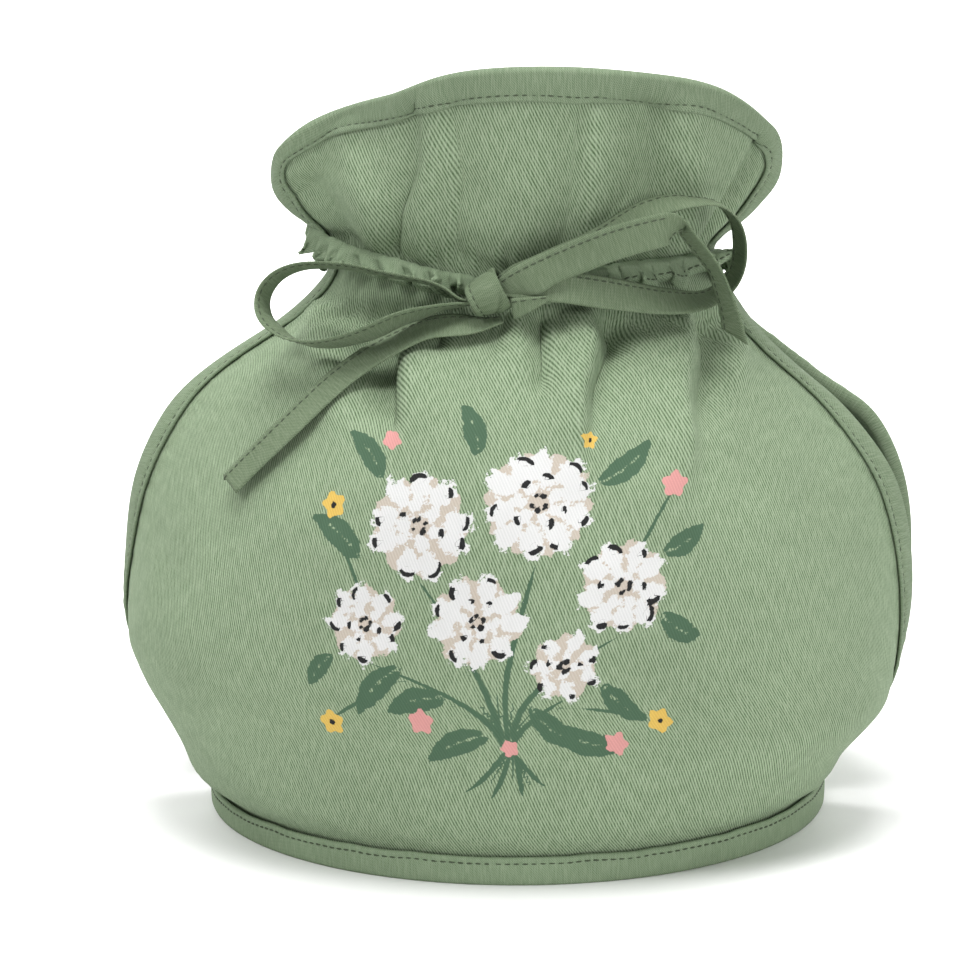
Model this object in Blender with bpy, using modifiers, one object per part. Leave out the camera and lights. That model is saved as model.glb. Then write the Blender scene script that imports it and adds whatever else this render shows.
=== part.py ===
"""A tea cosy: two bound, wadded cloth panels joined round the hem, drawn in at the neck by a bow.

Front is -Y, +Z is up, and the cosy rests on its hem at z = 0. The tables are in millimetres.
"""
import bpy
import numpy as np

MM = 0.001
TO_CENTRE = (-0.48, 0.80, 0)   # brings the middle of the whole over the origin
PANEL_GREEN = (0.270, 0.361, 0.227)
BINDING_GREEN = (0.215, 0.300, 0.180)

PAD_THICK = 3.6          # wadded panel, away from its edges
EDGE_THICK = 2.0         # the same panel pressed flat in a binding
EDGE_FLAT = 9.0          # how far the pressed edge reaches in
PAD_FULL = 22.0          # where the wadding is at its full thickness
BIND_WALL = 0.9          # folded binding cloth
BIND_WIDTH = 8.6
RIM_WIDTH = 7.6          # the same strip where it goes over the collar's rim
FIT_GAP = 0.35           # left between two layers
NECK_GAP = 0.7           # the same about the neck
TAPE_THICK = 0.8
TAPE_WIDTH = 9.6
CASING_THICK = 0.9
NECK_TAPE = 4.2           # the tie's width where it is gathered in the casings
SIDE_ARM = 0.56          # how far a section keeps the lean of its side edge
HEM_RADII = (90.6, 94.0)  # middle of the hem's fold, across and front to back
HEM_WALL = 1.0
HEM_GAP = 0.55
HEM_HEIGHT = {"front": 8.2, "right": 9.3, "left": 6.6}   # the back stands as the front

# One row per section from the hem to the rim: the centre line, how far the front stays flat (a part
# of the half width), then each side edge and the way the cloth points there (90 is straight back,
# less is splayed out, more is tucked in).
SECTION = ("x_mid", "y_mid", "z_mid", "flat", "x_left", "y_left", "z_left", "lean_left",
           "x_right", "y_right", "z_right", "lean_right")
NECK_ROW = 12
FRONT_SECTIONS = (
    (0, -94.0, 2.6, 0.53, -90.5, -5, 2.6, 87, 90.5, -5, 2.6, 87),
    (0, -94.0, 8.7, 0.53, -90.5, -5, 7.1, 87, 90.5, -5, 9.8, 87),
    (0, -97.5, 13.5, 0.53, -91.4, -7, 11.5, 98, 91.6, -7, 14.0, 98),
    (0, -101, 24, 0.53, -93.4, -9, 21, 107, 94.8, -9, 23, 105),
    (0, -104.5, 38, 0.53, -101.6, -11, 37, 106, 106.0, -11, 36, 104),
    (0, -106.5, 55, 0.53, -113.0, -13, 53, 92, 113.8, -13, 52.5, 84),
    (0, -106, 78, 0.52, -114.7, -15, 77, 74, 115.4, -15, 76, 67),
    (0, -102, 100, 0.50, -111.4, -17, 98, 60, 111.6, -16, 97, 58),
    (0, -91.5, 120, 0.48, -104.0, -18, 115, 52, 103.6, -17, 111.6, 54),
    (0, -76.5, 136, 0.47, -94.2, -17, 127, 52, 92.6, -17, 124, 54),
    (0, -59.5, 146, 0.47, -77.4, -14, 139, 58, 79.0, -15, 135.2, 58),
    (0, -50, 153, 0.50, -62.4, -10, 149.8, 68, 66.0, -11, 148.6, 68),
    (1, -46, 160, 0.54, -53.0, -7, 162, 82, 58.2, -8, 161, 82),
    (2, -45, 167, 0.54, -54.4, -6, 170.6, 82, 56.2, -7, 168.4, 82),
    (4, -48, 179, 0.54, -61.0, -9, 176.6, 78, 63.6, -9, 176.6, 76),
    (7, -51, 194, 0.54, -66.4, -12, 181.2, 76, 70.8, -13, 184, 72),
    (10, -53, 210, 0.54, -69.2, -14, 186.2, 74, 75.2, -16, 191, 70),
    (12, -55, 222.2, 0.54, -69.2, -16, 192.4, 74, 76.2, -18, 199.4, 70),
)
BACK_SECTIONS = (
    (0, -94.0, 2.6, 0.53, -90.5, -5, 2.6, 87, 90.5, -5, 2.6, 87),
    (0, -94.0, 8.7, 0.53, -90.5, -5, 7.1, 87, 90.5, -5, 9.8, 87),
    (0, -97, 13.5, 0.53, -91.2, -7, 11.5, 97, 91.4, -7, 14.0, 97),
    (0, -100, 24, 0.53, -93.0, -9, 21, 105, 94.2, -9, 23, 104),
    (0, -103, 38, 0.53, -101.0, -10, 37, 104, 105.0, -10, 36, 102),
    (0, -105, 55, 0.53, -111.2, -11, 53, 92, 113.8, -11, 52.5, 86),
    (0, -104, 78, 0.52, -112.4, -12, 77, 80, 116.4, -12, 76, 76),
    (0, -99, 100, 0.52, -108.6, -15, 98, 70, 113.6, -12, 98, 70),
    (0, -89, 118, 0.50, -100.6, -16, 113, 64, 104.8, -12, 115.4, 66),
    (0, -76, 133, 0.50, -89.4, -14, 124.8, 62, 92.2, -12, 124.6, 64),
    (0, -63, 144, 0.50, -73.4, -12, 136.6, 64, 76.6, -11, 136.4, 64),
    (0, -51, 151, 0.52, -60.0, -9, 147.6, 72, 63.0, -9, 147.6, 72),
    (0, -41, 157, 0.54, -51.6, -6, 160, 82, 56.0, -6, 159, 82),
    (0, -39, 163, 0.54, -51.6, -5, 167.4, 84, 54.0, -5, 166.4, 84),
    (0, -40, 173, 0.54, -56.0, -7, 173.4, 80, 59.0, -7, 173.4, 80),
    (2, -41, 184, 0.54, -60.0, -9, 177, 78, 64.0, -9, 177.6, 78),
    (3, -42, 195, 0.54, -62.0, -11, 180.4, 76, 66.8, -11, 181.8, 76),
    (4, -43, 203.6, 0.54, -61.6, -12, 184.8, 76, 66.2, -12, 187, 76),
)

# Each length of the tie, one row per section from the knot on: a point on one edge of the tape, how
# far the tape leans from lying straight back, and its width there.
RIBBON = ("x", "y", "z", "lean", "width")
LOOP_LEFT = (
    (-8.0, -59.4, 158.9, 12, 4.6),
    (-11.2, -60.0, 159.0, 12, 6.0),
    (-15.4, -60.8, 161.9, 12, 8.6),
    (-21.9, -60.6, 164.7, 14, 9.6),
    (-33.1, -58.4, 166.5, 15, 9.6),
    (-43.7, -55.0, 168.2, 17, 9.6),
    (-53.2, -51.5, 168.4, 18, 9.6),
    (-61.5, -49.5, 167.3, 20, 9.6),
    (-67.3, -49.5, 164.5, 23, 9.6),
    (-70.8, -51.0, 160.1, 25, 9.6),
    (-71.2, -54.0, 155.3, 22, 9.6),
    (-68.1, -58.5, 150.8, 8, 9.6),
    (-61.6, -62.5, 148.0, -10, 9.6),
    (-54.1, -66.0, 147.8, -22, 9.6),
    (-45.8, -69.0, 149.7, -28, 9.6),
    (-37.8, -70.5, 152.8, -32, 9.6),
    (-30.3, -69.5, 156.1, -32, 9.6),
    (-24.1, -67.5, 158.4, -30, 9.6),
    (-17.3, -64.5, 159.5, -28, 9.0),
    (-12.0, -61.0, 157.4, -20, 6.5),
    (-7.4, -59.2, 157.0, -12, 4.4),
)
LOOP_RIGHT = (
    (-2.1, -56.0, 161.7, 78, 3.2),
    (1.4, -56.0, 162.0, 76, 5.4),
    (7.2, -55.2, 163.3, 66, 7.0),
    (14.5, -55.4, 165.6, 60, 8.4),
    (22.1, -56.4, 168.6, 54, 9.2),
    (30.2, -56.6, 173.4, 46, 9.6),
    (38.5, -55.4, 179.9, 35, 9.6),
    (47.2, -54.4, 183.5, 28, 9.6),
    (54.7, -52.2, 185.0, 14, 9.6),
    (60.0, -49.5, 184.8, 0, 9.6),
    (64.6, -46.5, 181.8, -14, 9.6),
    (67.1, -43.8, 177.3, -22, 9.6),
    (68.0, -41.0, 172.3, -25, 9.6),
    (67.7, -39.6, 166.7, -26, 9.6),
    (65.8, -39.0, 161.5, -27, 9.6),
    (62.5, -40.0, 157.6, -30, 9.6),
    (57.7, -43.2, 155.1, -34, 9.6),
    (51.3, -47.0, 154.0, -37, 9.6),
    (43.7, -50.4, 154.2, -38, 9.6),
    (33.7, -55.0, 155.6, -38, 9.6),
    (23.7, -57.6, 157.1, -34, 9.6),
    (14.8, -59.0, 158.4, -30, 8.5),
    (7.0, -59.6, 158.8, -24, 6.0),
    (1.6, -59.2, 159.9, -16, 4.5),
    (-1.2, -58.8, 160.5, -12, 3.8),
)
TAIL_LEFT = (
    (-0.7, -57.4, 153.2, -20, 4.4),
    (-4.5, -58.4, 152.3, -24, 6.0),
    (-9.9, -59.8, 152.0, -29, 9.0),
    (-20.7, -61.2, 151.2, -32, 9.6),
    (-28.9, -62.6, 148.0, -36, 9.6),
    (-40.3, -66.0, 141.4, -38, 9.6),
    (-46.4, -68.6, 136.8, -40, 9.6),
    (-57.8, -71.2, 126.1, -41, 9.6),
    (-68.6, -70.4, 115.6, -39.6, 9.6),
    (-76.1, -68.8, 107.9, -38.6, 9.6),
)
TAIL_RIGHT = (
    (-3.2, -58.8, 162.9, -80, 2.4),
    (-0.1, -59.4, 166.1, -82, 6.6),
    (4.2, -60.0, 169.1, -85, 9.0),
    (10.1, -59.6, 171.9, -88, 9.6),
    (17.6, -59.6, 175.2, -88, 9.6),
    (27.0, -59.8, 179.0, -88, 9.6),
    (37.0, -60.0, 182.1, -86, 9.6),
    (43.7, -60.0, 183.7, -80, 9.6),
    (47.6, -59.4, 183.8, -62, 9.6),
    (50.4, -58.4, 182.0, -38, 9.6),
    (52.9, -57.4, 178.9, -24, 9.6),
    (55.7, -56.2, 175.2, -20, 9.6),
    (58.8, -55.0, 171.1, -22, 9.6),
    (61.8, -53.8, 165.8, -26, 9.6),
    (64.0, -52.2, 160.4, -30, 9.6),
    (66.1, -51.8, 154.7, -35, 9.6),
    (68.6, -51.8, 145.8, -42, 9.6),
)
TUCK = (
    (2.0, -60.3, 158.4, -84, 3.2),
    (4.9, -60.7, 159.5, -84, 4.2),
    (10.2, -60.7, 160.9, -84, 4.0),
)
KNOT_CENTRE = (-5.0, -57.0, 160.0)
KNOT_TILT = 35.0              # its axis rises to the right
KNOT_HALF = 4.1
KNOT_RADII = (4.2, 5.2)       # at its left and right mouths
KNOT_DEPTH = 5.4
KNOT_WALL = 1.0

# The gathered channels over the neck line: where each starts and stops across its panel, half its
# height, its columns of faces, and how far its left and right ends flare (out, up).
CASING = ("name", "start", "stop", "half_tall", "columns", "left_ear", "right_ear")
CASINGS = (
    ("front_casing_left", -1.045, -0.125, 3.7, 31, (3.0, 5.0), (0, 0)),
    ("front_casing_right", 0.05, 1.03, 4.4, 33, (0, 0), (1.6, 1.5)),
    ("back_casing", -1.035, 1.035, 4.4, 37, (2.0, 1.0), (2.0, 0)),
)

# Soft folds running out of the gathered neck: where each lies across the panel (-1 left edge, 1 right
# edge) at the neck and where it dies out, how wide it is on either side, how far it stands out and
# how far it runs (up into the collar +, down the body -).
FOLD = ("at_neck", "at_end", "left_width", "right_width", "push", "run")
FRONT_FOLDS = (
    (-0.62, -0.50, 0.10, 0.10, 1.8, -62),
    (-0.31, -0.25, 0.07, 0.09, -3.0, -58),
    (-0.12, -0.10, 0.08, 0.08, 1.4, -50),
    (0.10, 0.05, 0.10, 0.07, 2.8, -66),
    (0.26, 0.24, 0.05, 0.12, -4.6, -60),
    (0.47, 0.36, 0.10, 0.08, 3.2, -70),
    (0.62, 0.48, 0.07, 0.10, -2.6, -66),
    (0.80, 0.66, 0.09, 0.09, 1.6, -60),
    (-0.76, -0.66, 0.12, 0.13, -5.0, 62),
    (-0.52, -0.40, 0.07, 0.07, 2.0, 70),
    (-0.40, -0.29, 0.06, 0.05, -2.6, 75),
    (-0.30, -0.22, 0.05, 0.05, 2.2, 75),
    (-0.21, -0.13, 0.05, 0.05, -1.8, 75),
    (-0.04, 0.02, 0.12, 0.12, 2.4, 90),
    (0.20, 0.15, 0.07, 0.07, -3.0, 110),
    (0.31, 0.28, 0.06, 0.06, 2.0, 90),
    (0.41, 0.38, 0.06, 0.06, -3.4, 110),
    (0.54, 0.56, 0.07, 0.07, 2.2, 90),
    (0.66, 0.80, 0.06, 0.06, -2.4, 85),
)
BACK_FOLDS = (
    (-0.55, -0.45, 0.10, 0.10, -2.4, -60),
    (-0.25, -0.20, 0.12, 0.12, 2.2, -55),
    (0.10, 0.08, 0.10, 0.10, -2.6, -60),
    (0.42, 0.36, 0.12, 0.12, 2.2, -60),
    (-0.55, -0.50, 0.12, 0.12, -3.0, 80),
    (-0.18, -0.14, 0.12, 0.12, 2.4, 80),
    (0.20, 0.16, 0.12, 0.12, -3.0, 80),
    (0.58, 0.52, 0.12, 0.12, 2.2, 80),
)


# How far the collar's rim sinks at a place across it, and how wide the dip is to either side.
FRONT_DIPS = ((-0.42, 0.34, 0.16, 3.4), (0.66, 0.22, 0.22, -2.2))
BACK_DIPS = ((0.1, 0.4, 0.4, 1.5),)


def clear_scene():
    for item in list(bpy.data.objects):
        bpy.data.objects.remove(item)


def spline(knots, values, at):
    # smooth curve through the rows of a table
    knots, values, at = (np.asarray(a, float) for a in (knots, values, at))
    count, gap = len(knots), np.diff(knots)
    slope = np.diff(values, axis=0) / gap[:, None]
    system, right = np.eye(count), np.zeros(values.shape)
    for i in range(1, count - 1):
        system[i, i - 1:i + 2] = gap[i - 1], 2 * (gap[i - 1] + gap[i]), gap[i]
        right[i] = 6 * (slope[i] - slope[i - 1])
    bend = np.linalg.solve(system, right)
    i = np.clip(np.searchsorted(knots, at) - 1, 0, count - 2)
    step = gap[i][:, None]
    near, far = at[:, None] - knots[i][:, None], knots[i + 1][:, None] - at[:, None]
    return ((bend[i] * far ** 3 + bend[i + 1] * near ** 3) / (6 * step)
            + (values[i] / step - bend[i] * step / 6) * far
            + (values[i + 1] / step - bend[i + 1] * step / 6) * near)


def ease(t):
    t = np.clip(t, 0, 1)
    return t * t * (3 - 2 * t)


def centre_reach(sections):
    # distance of each section from the hem edge, measured up the centre line
    table = np.array(sections, float)
    return np.concatenate([[0], np.cumsum(np.hypot(np.diff(table[:, 1]), np.diff(table[:, 2])))])


def grid_normals(points):
    across = np.gradient(points, axis=1)
    upward = np.gradient(points, axis=0)
    normal = np.cross(across, upward)
    return normal / np.linalg.norm(normal, axis=2, keepdims=True)


def panel_sheet(sections, folds, dips, reach, places):
    """Middle surface of a panel that faces -Y, one row of points for each reach.

    places gives, for a row's length, how far along the row its points lie.
    """
    knots = centre_reach(sections)
    row = dict(zip(SECTION, spline(knots, sections, reach).T[:, :, None]))
    step = np.linspace(-1, 1, 401)[None, :]

    def bowed(start, start_arm, end_arm, end):
        # a curve from the centre line to a side edge that leaves each end along its arm
        t = np.abs(step)
        return ((1 - t) ** 3 * start + 3 * t * (1 - t) ** 2 * start_arm
                + 3 * t * t * (1 - t) * end_arm + t ** 3 * end)

    def half_row(side, sign):
        x_end, z_end, y_end = (row[k + side] for k in ("x_", "z_", "y_"))
        lean = np.radians(row["lean_" + side])
        arm = SIDE_ARM * (y_end - row["y_mid"])
        x_mid = row["x_mid"]
        return (bowed(x_mid, x_mid + row["flat"] * (x_end - x_mid), x_end - sign * arm * np.cos(lean), x_end),
                bowed(row["y_mid"], row["y_mid"], y_end - arm * np.sin(lean), y_end),
                bowed(row["z_mid"], row["z_mid"], row["z_mid"] + 0.45 * (z_end - row["z_mid"]), z_end))

    x, y, z = (np.where(step < 0, a, b) for a, b in zip(half_row("left", -1), half_row("right", 1)))
    fine = np.stack([x, y, z], 2)
    run = np.linalg.norm(np.diff(fine, axis=1), axis=2).cumsum(axis=1)
    run = np.concatenate([np.zeros((len(run), 1)), run], 1)
    place = np.array([places(length) for length in run[:, -1]])
    points = np.stack([[np.interp(p, r, f[:, k]) for k in range(3)]
                       for p, r, f in zip(place, run, fine)]).transpose(0, 2, 1)
    across = 2 * place / run[:, -1:] - 1
    side = np.minimum(place, run[:, -1:] - place)
    above = (np.asarray(reach, float) - knots[NECK_ROW])[:, None]
    push = np.zeros(across.shape)
    for at_neck, at_end, left, right, amount, length in folds:
        t = above / length
        off = across - (at_neck + (at_end - at_neck) * np.clip(t, 0, 1))
        shape = np.exp(-(off / np.where(off < 0, left, right)) ** 2)
        push += amount * shape * ease((t - 0.04) / 0.2) * (1 - ease((t - 0.3) / 0.7)) * (t > 0)
    push *= ease(side / 14)
    collar = ease(above / (knots[-1] - knots[NECK_ROW]))
    for place_across, left, right, drop in dips:
        off = across - place_across
        points[:, :, 2] -= drop * collar * np.exp(-(off / np.where(off < 0, left, right)) ** 2)
    points += grid_normals(points) * push[:, :, None]
    return {"points": points, "normals": grid_normals(points), "across": across, "side": side,
            "reach": np.asarray(reach, float), "rim": knots[-1], "neck": knots[NECK_ROW]}


def flipped(sheet):
    # the same sheet turned to face +Y, its left and right kept
    turned = dict(sheet)
    for key in ("points", "normals"):
        turned[key] = sheet[key] * np.array([1, -1, 1])
    return turned


def panel_places(columns):
    # points along a row: its two ends, the inner lines of both bindings, and even steps between
    def places(length):
        inner = np.linspace(BIND_WIDTH, length - BIND_WIDTH, columns - 2)
        return np.concatenate([[0], inner, [length]])
    return places


def material(name, colour, roughness):
    cloth = bpy.data.materials.new(name)
    cloth.use_nodes = True
    shader = cloth.node_tree.nodes["Principled BSDF"]
    shader.inputs["Base Color"].default_value = (*colour, 1)
    shader.inputs["Roughness"].default_value = roughness
    shader.inputs["Metallic"].default_value = 0
    return cloth


def add_body(name, verts, faces, colour, roughness=0.9):
    mesh = bpy.data.meshes.new(name)
    placed = (np.asarray(verts) + TO_CENTRE) * MM
    mesh.from_pydata(placed.tolist(), [], [tuple(int(i) for i in face) for face in faces])
    mesh.materials.append(material(name + "_cloth", colour, roughness))
    body = bpy.data.objects.new(name, mesh)
    COSY.objects.link(body)
    return body


def thicken(body, thickness, weights=None):
    # gives an open sheet its thickness, equally to both sides
    solid = body.modifiers.new("cloth thickness", "SOLIDIFY")
    solid.thickness = thickness * MM
    solid.offset = 0
    if weights is not None:
        group = body.vertex_groups.new(name="wadding")
        for index, weight in enumerate(weights):
            group.add([index], float(weight), "REPLACE")
        solid.vertex_group = group.name
        solid.thickness_vertex_group = 0


def turned_over(faces):
    # the same faces seen from behind, each still starting at its first corner
    return [(f[0],) + f[:0:-1] for f in faces]


def grid_faces(rows, columns, flip=False):
    faces = [(i * columns + j, i * columns + j + 1, (i + 1) * columns + j + 1, (i + 1) * columns + j)
             for i in range(rows - 1) for j in range(columns - 1)]
    return turned_over(faces) if flip else faces


def add_panel(name, sheet, flip, colour):
    points = sheet["points"]
    body = add_body(name, points.reshape(-1, 3), grid_faces(*points.shape[:2], flip), colour)
    neck_near = np.abs(sheet["reach"] - sheet["neck"])[:, None] + 3
    near = np.minimum(np.minimum(sheet["side"], neck_near),
                      np.minimum(sheet["reach"], sheet["rim"] - sheet["reach"])[:, None])
    full = ease((near - EDGE_FLAT) / (PAD_FULL - EDGE_FLAT))
    thick = EDGE_THICK + (PAD_THICK - EDGE_THICK) * full
    thicken(body, PAD_THICK, (thick / PAD_THICK).ravel())
    return body


def add_edge_binding(name, sheet, first_row, flip, colour):
    """A folded strip over the panel's two sides and its rim: inner line, turn of the edge, inner line."""
    points, normals = sheet["points"], sheet["normals"]
    rows, columns = points.shape[:2]
    last = rows - 1
    edge = ([(i, 0) for i in range(first_row, rows)] + [(last, j) for j in range(1, columns)]
            + [(i, columns - 1) for i in range(last - 1, first_row - 1, -1)])
    inner = [(min(i, last - 1), min(max(j, 1), columns - 2)) for i, j in edge]
    line = np.array([points[k] for k in edge])
    along = np.gradient(line, axis=0)
    along /= np.linalg.norm(along, axis=1, keepdims=True)
    normal = np.array([normals[k] for k in edge])
    outward = np.cross(along, normal) * (-1 if flip else 1)
    toward = line - np.array([points[k] for k in inner])
    outward *= np.sign((outward * toward).sum(axis=1).mean())
    stand = EDGE_THICK / 2 + FIT_GAP + BIND_WALL / 2
    turn = ((0.4, stand), (1.25, 0.45 * stand), (1.25, -0.45 * stand), (0.4, -stand))
    verts, ring_of = [], {}
    starts = []
    for k, (cell, partner) in enumerate(zip(edge, inner)):
        if partner not in ring_of:
            ring_of[partner] = len(verts)
            verts += [points[partner] + normals[partner] * stand, points[partner] - normals[partner] * stand]
        starts.append(len(verts))
        verts += [line[k] + outward[k] * out + normal[k] * up for out, up in turn]
    faces = []
    for k in range(len(edge) - 1):
        here, there = starts[k], starts[k + 1]
        one, two = ring_of[inner[k]], ring_of[inner[k + 1]]
        bands = [(here + i, here + i + 1, there + i + 1, there + i) for i in range(3)]
        if one == two:
            bands += [(one, here, there), (here + 3, one + 1, there + 3)]
        elif edge[k][0] == edge[k + 1][0]:
            bands += [(one, here, there, two), (one + 1, two + 1, there + 3, here + 3)]
        else:
            bands += [(here, there, two, one), (here + 3, one + 1, two + 1, there + 3)]
        faces += bands
    if flip:
        faces = turned_over(faces)
    body = add_body(name, verts, faces, colour)
    thicken(body, BIND_WALL)
    return body


def add_hem(name, stations, colour):
    # a channel open at the top, its flat underside at z = 0
    angle = np.linspace(0, 2 * np.pi, stations, endpoint=False)
    side = np.where(np.sin(angle) > 0, HEM_HEIGHT["right"], HEM_HEIGHT["left"])
    top = HEM_HEIGHT["front"] + (side - HEM_HEIGHT["front"]) * (1 - np.abs(np.cos(angle)))
    half = EDGE_THICK / 2 + HEM_GAP
    wide = half + HEM_WALL
    profile = ((wide - 0.9, 0, 0), (wide, 0.9, 0), (wide, 0, 1), (half, 0, 1), (half, 1.2, 0),
               (-half, 1.2, 0), (-half, 0, 1), (-wide, 0, 1), (-wide, 0.9, 0), (0.9 - wide, 0, 0))
    verts = [((HEM_RADII[0] + out) * np.sin(a), -(HEM_RADII[1] + out) * np.cos(a), low + high * t)
             for a, t in zip(angle, top) for out, low, high in profile]
    count = len(profile)
    faces = [(i * count + j, ((i + 1) % stations) * count + j,
              ((i + 1) % stations) * count + (j + 1) % count, i * count + (j + 1) % count)
             for i in range(stations) for j in range(count)]
    return add_body(name, verts, faces, colour)


def panel_reaches(sections):
    # rows of a panel, closer at the hem and the neck, the last one a binding's width below the rim
    knots = centre_reach(sections)
    neck, rim = knots[NECK_ROW], knots[-1]
    return np.concatenate([[0, knots[1], knots[1] + 4, knots[1] + 8.5],
                           np.linspace(knots[1] + 15, neck - 34, 12),
                           np.linspace(neck - 28, neck + 12, 9),
                           np.linspace(neck + 18, rim - RIM_WIDTH, 6), [rim]])


def strip(name, points, thickness, colour, flip=False):
    body = add_body(name, points.reshape(-1, 3), grid_faces(*points.shape[:2], flip), colour)
    thicken(body, thickness)
    return body


def add_ribbon(name, rows, spacing, colour, hold=0.0, cut=0.0):
    """A length of tape through the rows; hold says which part of its width the path runs along."""
    table = np.array(rows, float)
    knots = np.concatenate([[0], np.cumsum(np.linalg.norm(np.diff(table[:, :3], axis=0), axis=1))])
    at = np.linspace(0, knots[-1], int(knots[-1] / spacing) + 2)
    row = spline(knots, table, at)
    path, width = row[:, :3], row[:, 4:5]
    along = np.gradient(path, axis=0)
    along /= np.linalg.norm(along, axis=1, keepdims=True)
    back = np.array([0, 1, 0]) - along * along[:, 1:2]
    back /= np.linalg.norm(back, axis=1, keepdims=True)
    lean = np.radians(row[:, 3:4])
    over = np.cos(lean) * back + np.sin(lean) * np.cross(along, back)
    first, second = path - over * width * hold, path + over * width * (1 - hold)
    second[-1] += along[-1] * cut
    return strip(name, np.stack([first, second], 1), TAPE_THICK, colour)


def add_knot(name, around, colour):
    # one turn of tape round the gathered strands
    tilt = np.radians(KNOT_TILT)
    axis = np.array([np.cos(tilt), 0, np.sin(tilt)])
    rise = np.array([-np.sin(tilt), 0, np.cos(tilt)])
    depth = np.array([0, 1, 0])
    share = np.array([0, 0.15, 0.5, 0.85, 1])[:, None, None]
    turn = np.linspace(0, 2 * np.pi, around, endpoint=False)[None, :, None]
    radius = KNOT_RADII[0] + (KNOT_RADII[1] - KNOT_RADII[0]) * share
    swell = 1 + 0.08 * np.sin(np.pi * share)
    points = (np.array(KNOT_CENTRE) + axis * KNOT_HALF * (2 * share - 1)
              + rise * (radius - KNOT_WALL / 2) * swell * np.cos(turn)
              + depth * (KNOT_DEPTH - KNOT_WALL / 2) * swell * np.sin(turn))
    rows = points.shape[0]
    faces = [(i * around + j, i * around + (j + 1) % around,
              (i + 1) * around + (j + 1) % around, (i + 1) * around + j)
             for i in range(rows - 1) for j in range(around)]
    body = add_body(name, points.reshape(-1, 3), faces, colour)
    thicken(body, KNOT_WALL)
    return body


def neck_sheet(sections, folds, dips):
    # the panel's surface close about the neck line, evenly sampled
    neck = centre_reach(sections)[NECK_ROW]
    reach = neck + np.arange(-12, 19)
    return panel_sheet(sections, folds, dips, reach, lambda length: np.linspace(0, length, 161))


def on_neck(sheet, above, across):
    # points and normals there, carried straight on past the side edges
    v, u = np.broadcast_arrays(np.asarray(above, float) + 12, (np.asarray(across, float) + 1) * 80)
    i, j = np.clip(v.astype(int), 0, 29), np.clip(u.astype(int), 0, 159)
    s, t = (v - i)[..., None], (u - j)[..., None]

    def blend(grid):
        return (grid[i, j] * (1 - s) * (1 - t) + grid[i + 1, j] * s * (1 - t)
                + grid[i, j + 1] * (1 - s) * t + grid[i + 1, j + 1] * s * t)
    normal = blend(sheet["normals"])
    side = (1 - np.abs(across)) * sheet["side"][12].max()
    return blend(sheet["points"]), normal / np.linalg.norm(normal, axis=-1, keepdims=True), side


def over_binding(side):
    # extra height where a strip crosses the edge binding
    return (FIT_GAP + BIND_WALL) * (1 - ease((side - BIND_WIDTH - 2.5) / 8))


def neck_rise(across, flip):
    # the gathering line climbs toward the front's side edges
    return 0 if flip else 4.0 * ease(-(across + 0.08) / 0.45) + 3.6 * ease((across - 0.06) / 0.45)


def add_casing(name, sheet, start, stop, half_tall, columns, ears, flip, colour):
    """A ruched strip over the neck line, its long edges down on the panel; ears are (out, up) at each end."""
    across = np.linspace(start, stop, columns)[None, :]
    above = np.array([-half_tall, 0.72 - half_tall, half_tall - 0.72, half_tall])[:, None]
    half = sheet["side"][12].max()
    run = across * half
    near = [ease((12 - np.abs(across - end) * half) / 12) for end in (start, stop)]
    follow = np.array([0.2, 0.35, 1, 1])[:, None]
    lift = neck_rise(across, flip) + follow * sum(n * ear[1] for n, ear in zip(near, ears))
    points, normal, side = on_neck(sheet, above + lift, across + 0 * above)
    wave = 0.5 + 0.5 * np.sin(2 * np.pi * run / 10.4 + 1.1 * np.sin(run / 9.0))
    inner = np.array([0, 1, 1, 0])[:, None]
    stand = EDGE_THICK / 2 + NECK_GAP + CASING_THICK / 2 + over_binding(side)
    stand = stand + inner * (TAPE_THICK + FIT_GAP + 0.3 + 1.6 * wave) + (1 - inner) * 0.35 * wave
    stand = stand + sum(n * ear[0] for n, ear in zip(near, ears))
    turned = (1, -1, 1) if flip else (1, 1, 1)
    return strip(name, (points + normal * stand[:, :, None]) * turned, CASING_THICK, colour, flip)


def add_neck_run(name, front_neck, back_neck, spacing, colour):
    # the tie inside the casings, from one side of the knot round the back to the other
    edges = []
    for above in (-NECK_TAPE / 2, NECK_TAPE / 2):
        parts = []
        for sheet, ends in ((front_neck, (0.05, 1)), (back_neck, (1, -1)), (front_neck, (-1, -0.115))):
            half = sheet["side"][12].max()
            across = np.linspace(*ends, max(3, int(abs(ends[1] - ends[0]) * half / spacing)))
            points, normal, side = on_neck(sheet, above + neck_rise(across, sheet is back_neck), across)
            if sheet is back_neck:
                points, normal = points * (1, -1, 1), normal * (1, -1, 1)
            stand = EDGE_THICK / 2 + NECK_GAP + TAPE_THICK / 2 + over_binding(side)
            parts.append(points + normal * stand[:, None])
        edges.append(np.concatenate(parts))
    return strip(name, np.stack(edges), TAPE_THICK, colour)


clear_scene()
COSY = bpy.data.collections.new("tea_cosy")
bpy.context.scene.collection.children.link(COSY)

front = panel_sheet(FRONT_SECTIONS, FRONT_FOLDS, FRONT_DIPS, panel_reaches(FRONT_SECTIONS), panel_places(38))
back = flipped(panel_sheet(BACK_SECTIONS, BACK_FOLDS, BACK_DIPS, panel_reaches(BACK_SECTIONS),
                           panel_places(28)))
add_panel("front_panel", front, False, PANEL_GREEN)
add_panel("back_panel", back, True, PANEL_GREEN)
add_edge_binding("front_edge_binding", front, 2, False, BINDING_GREEN)
add_edge_binding("back_edge_binding", back, 2, True, BINDING_GREEN)
add_hem("hem_binding", 72, BINDING_GREEN)

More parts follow.
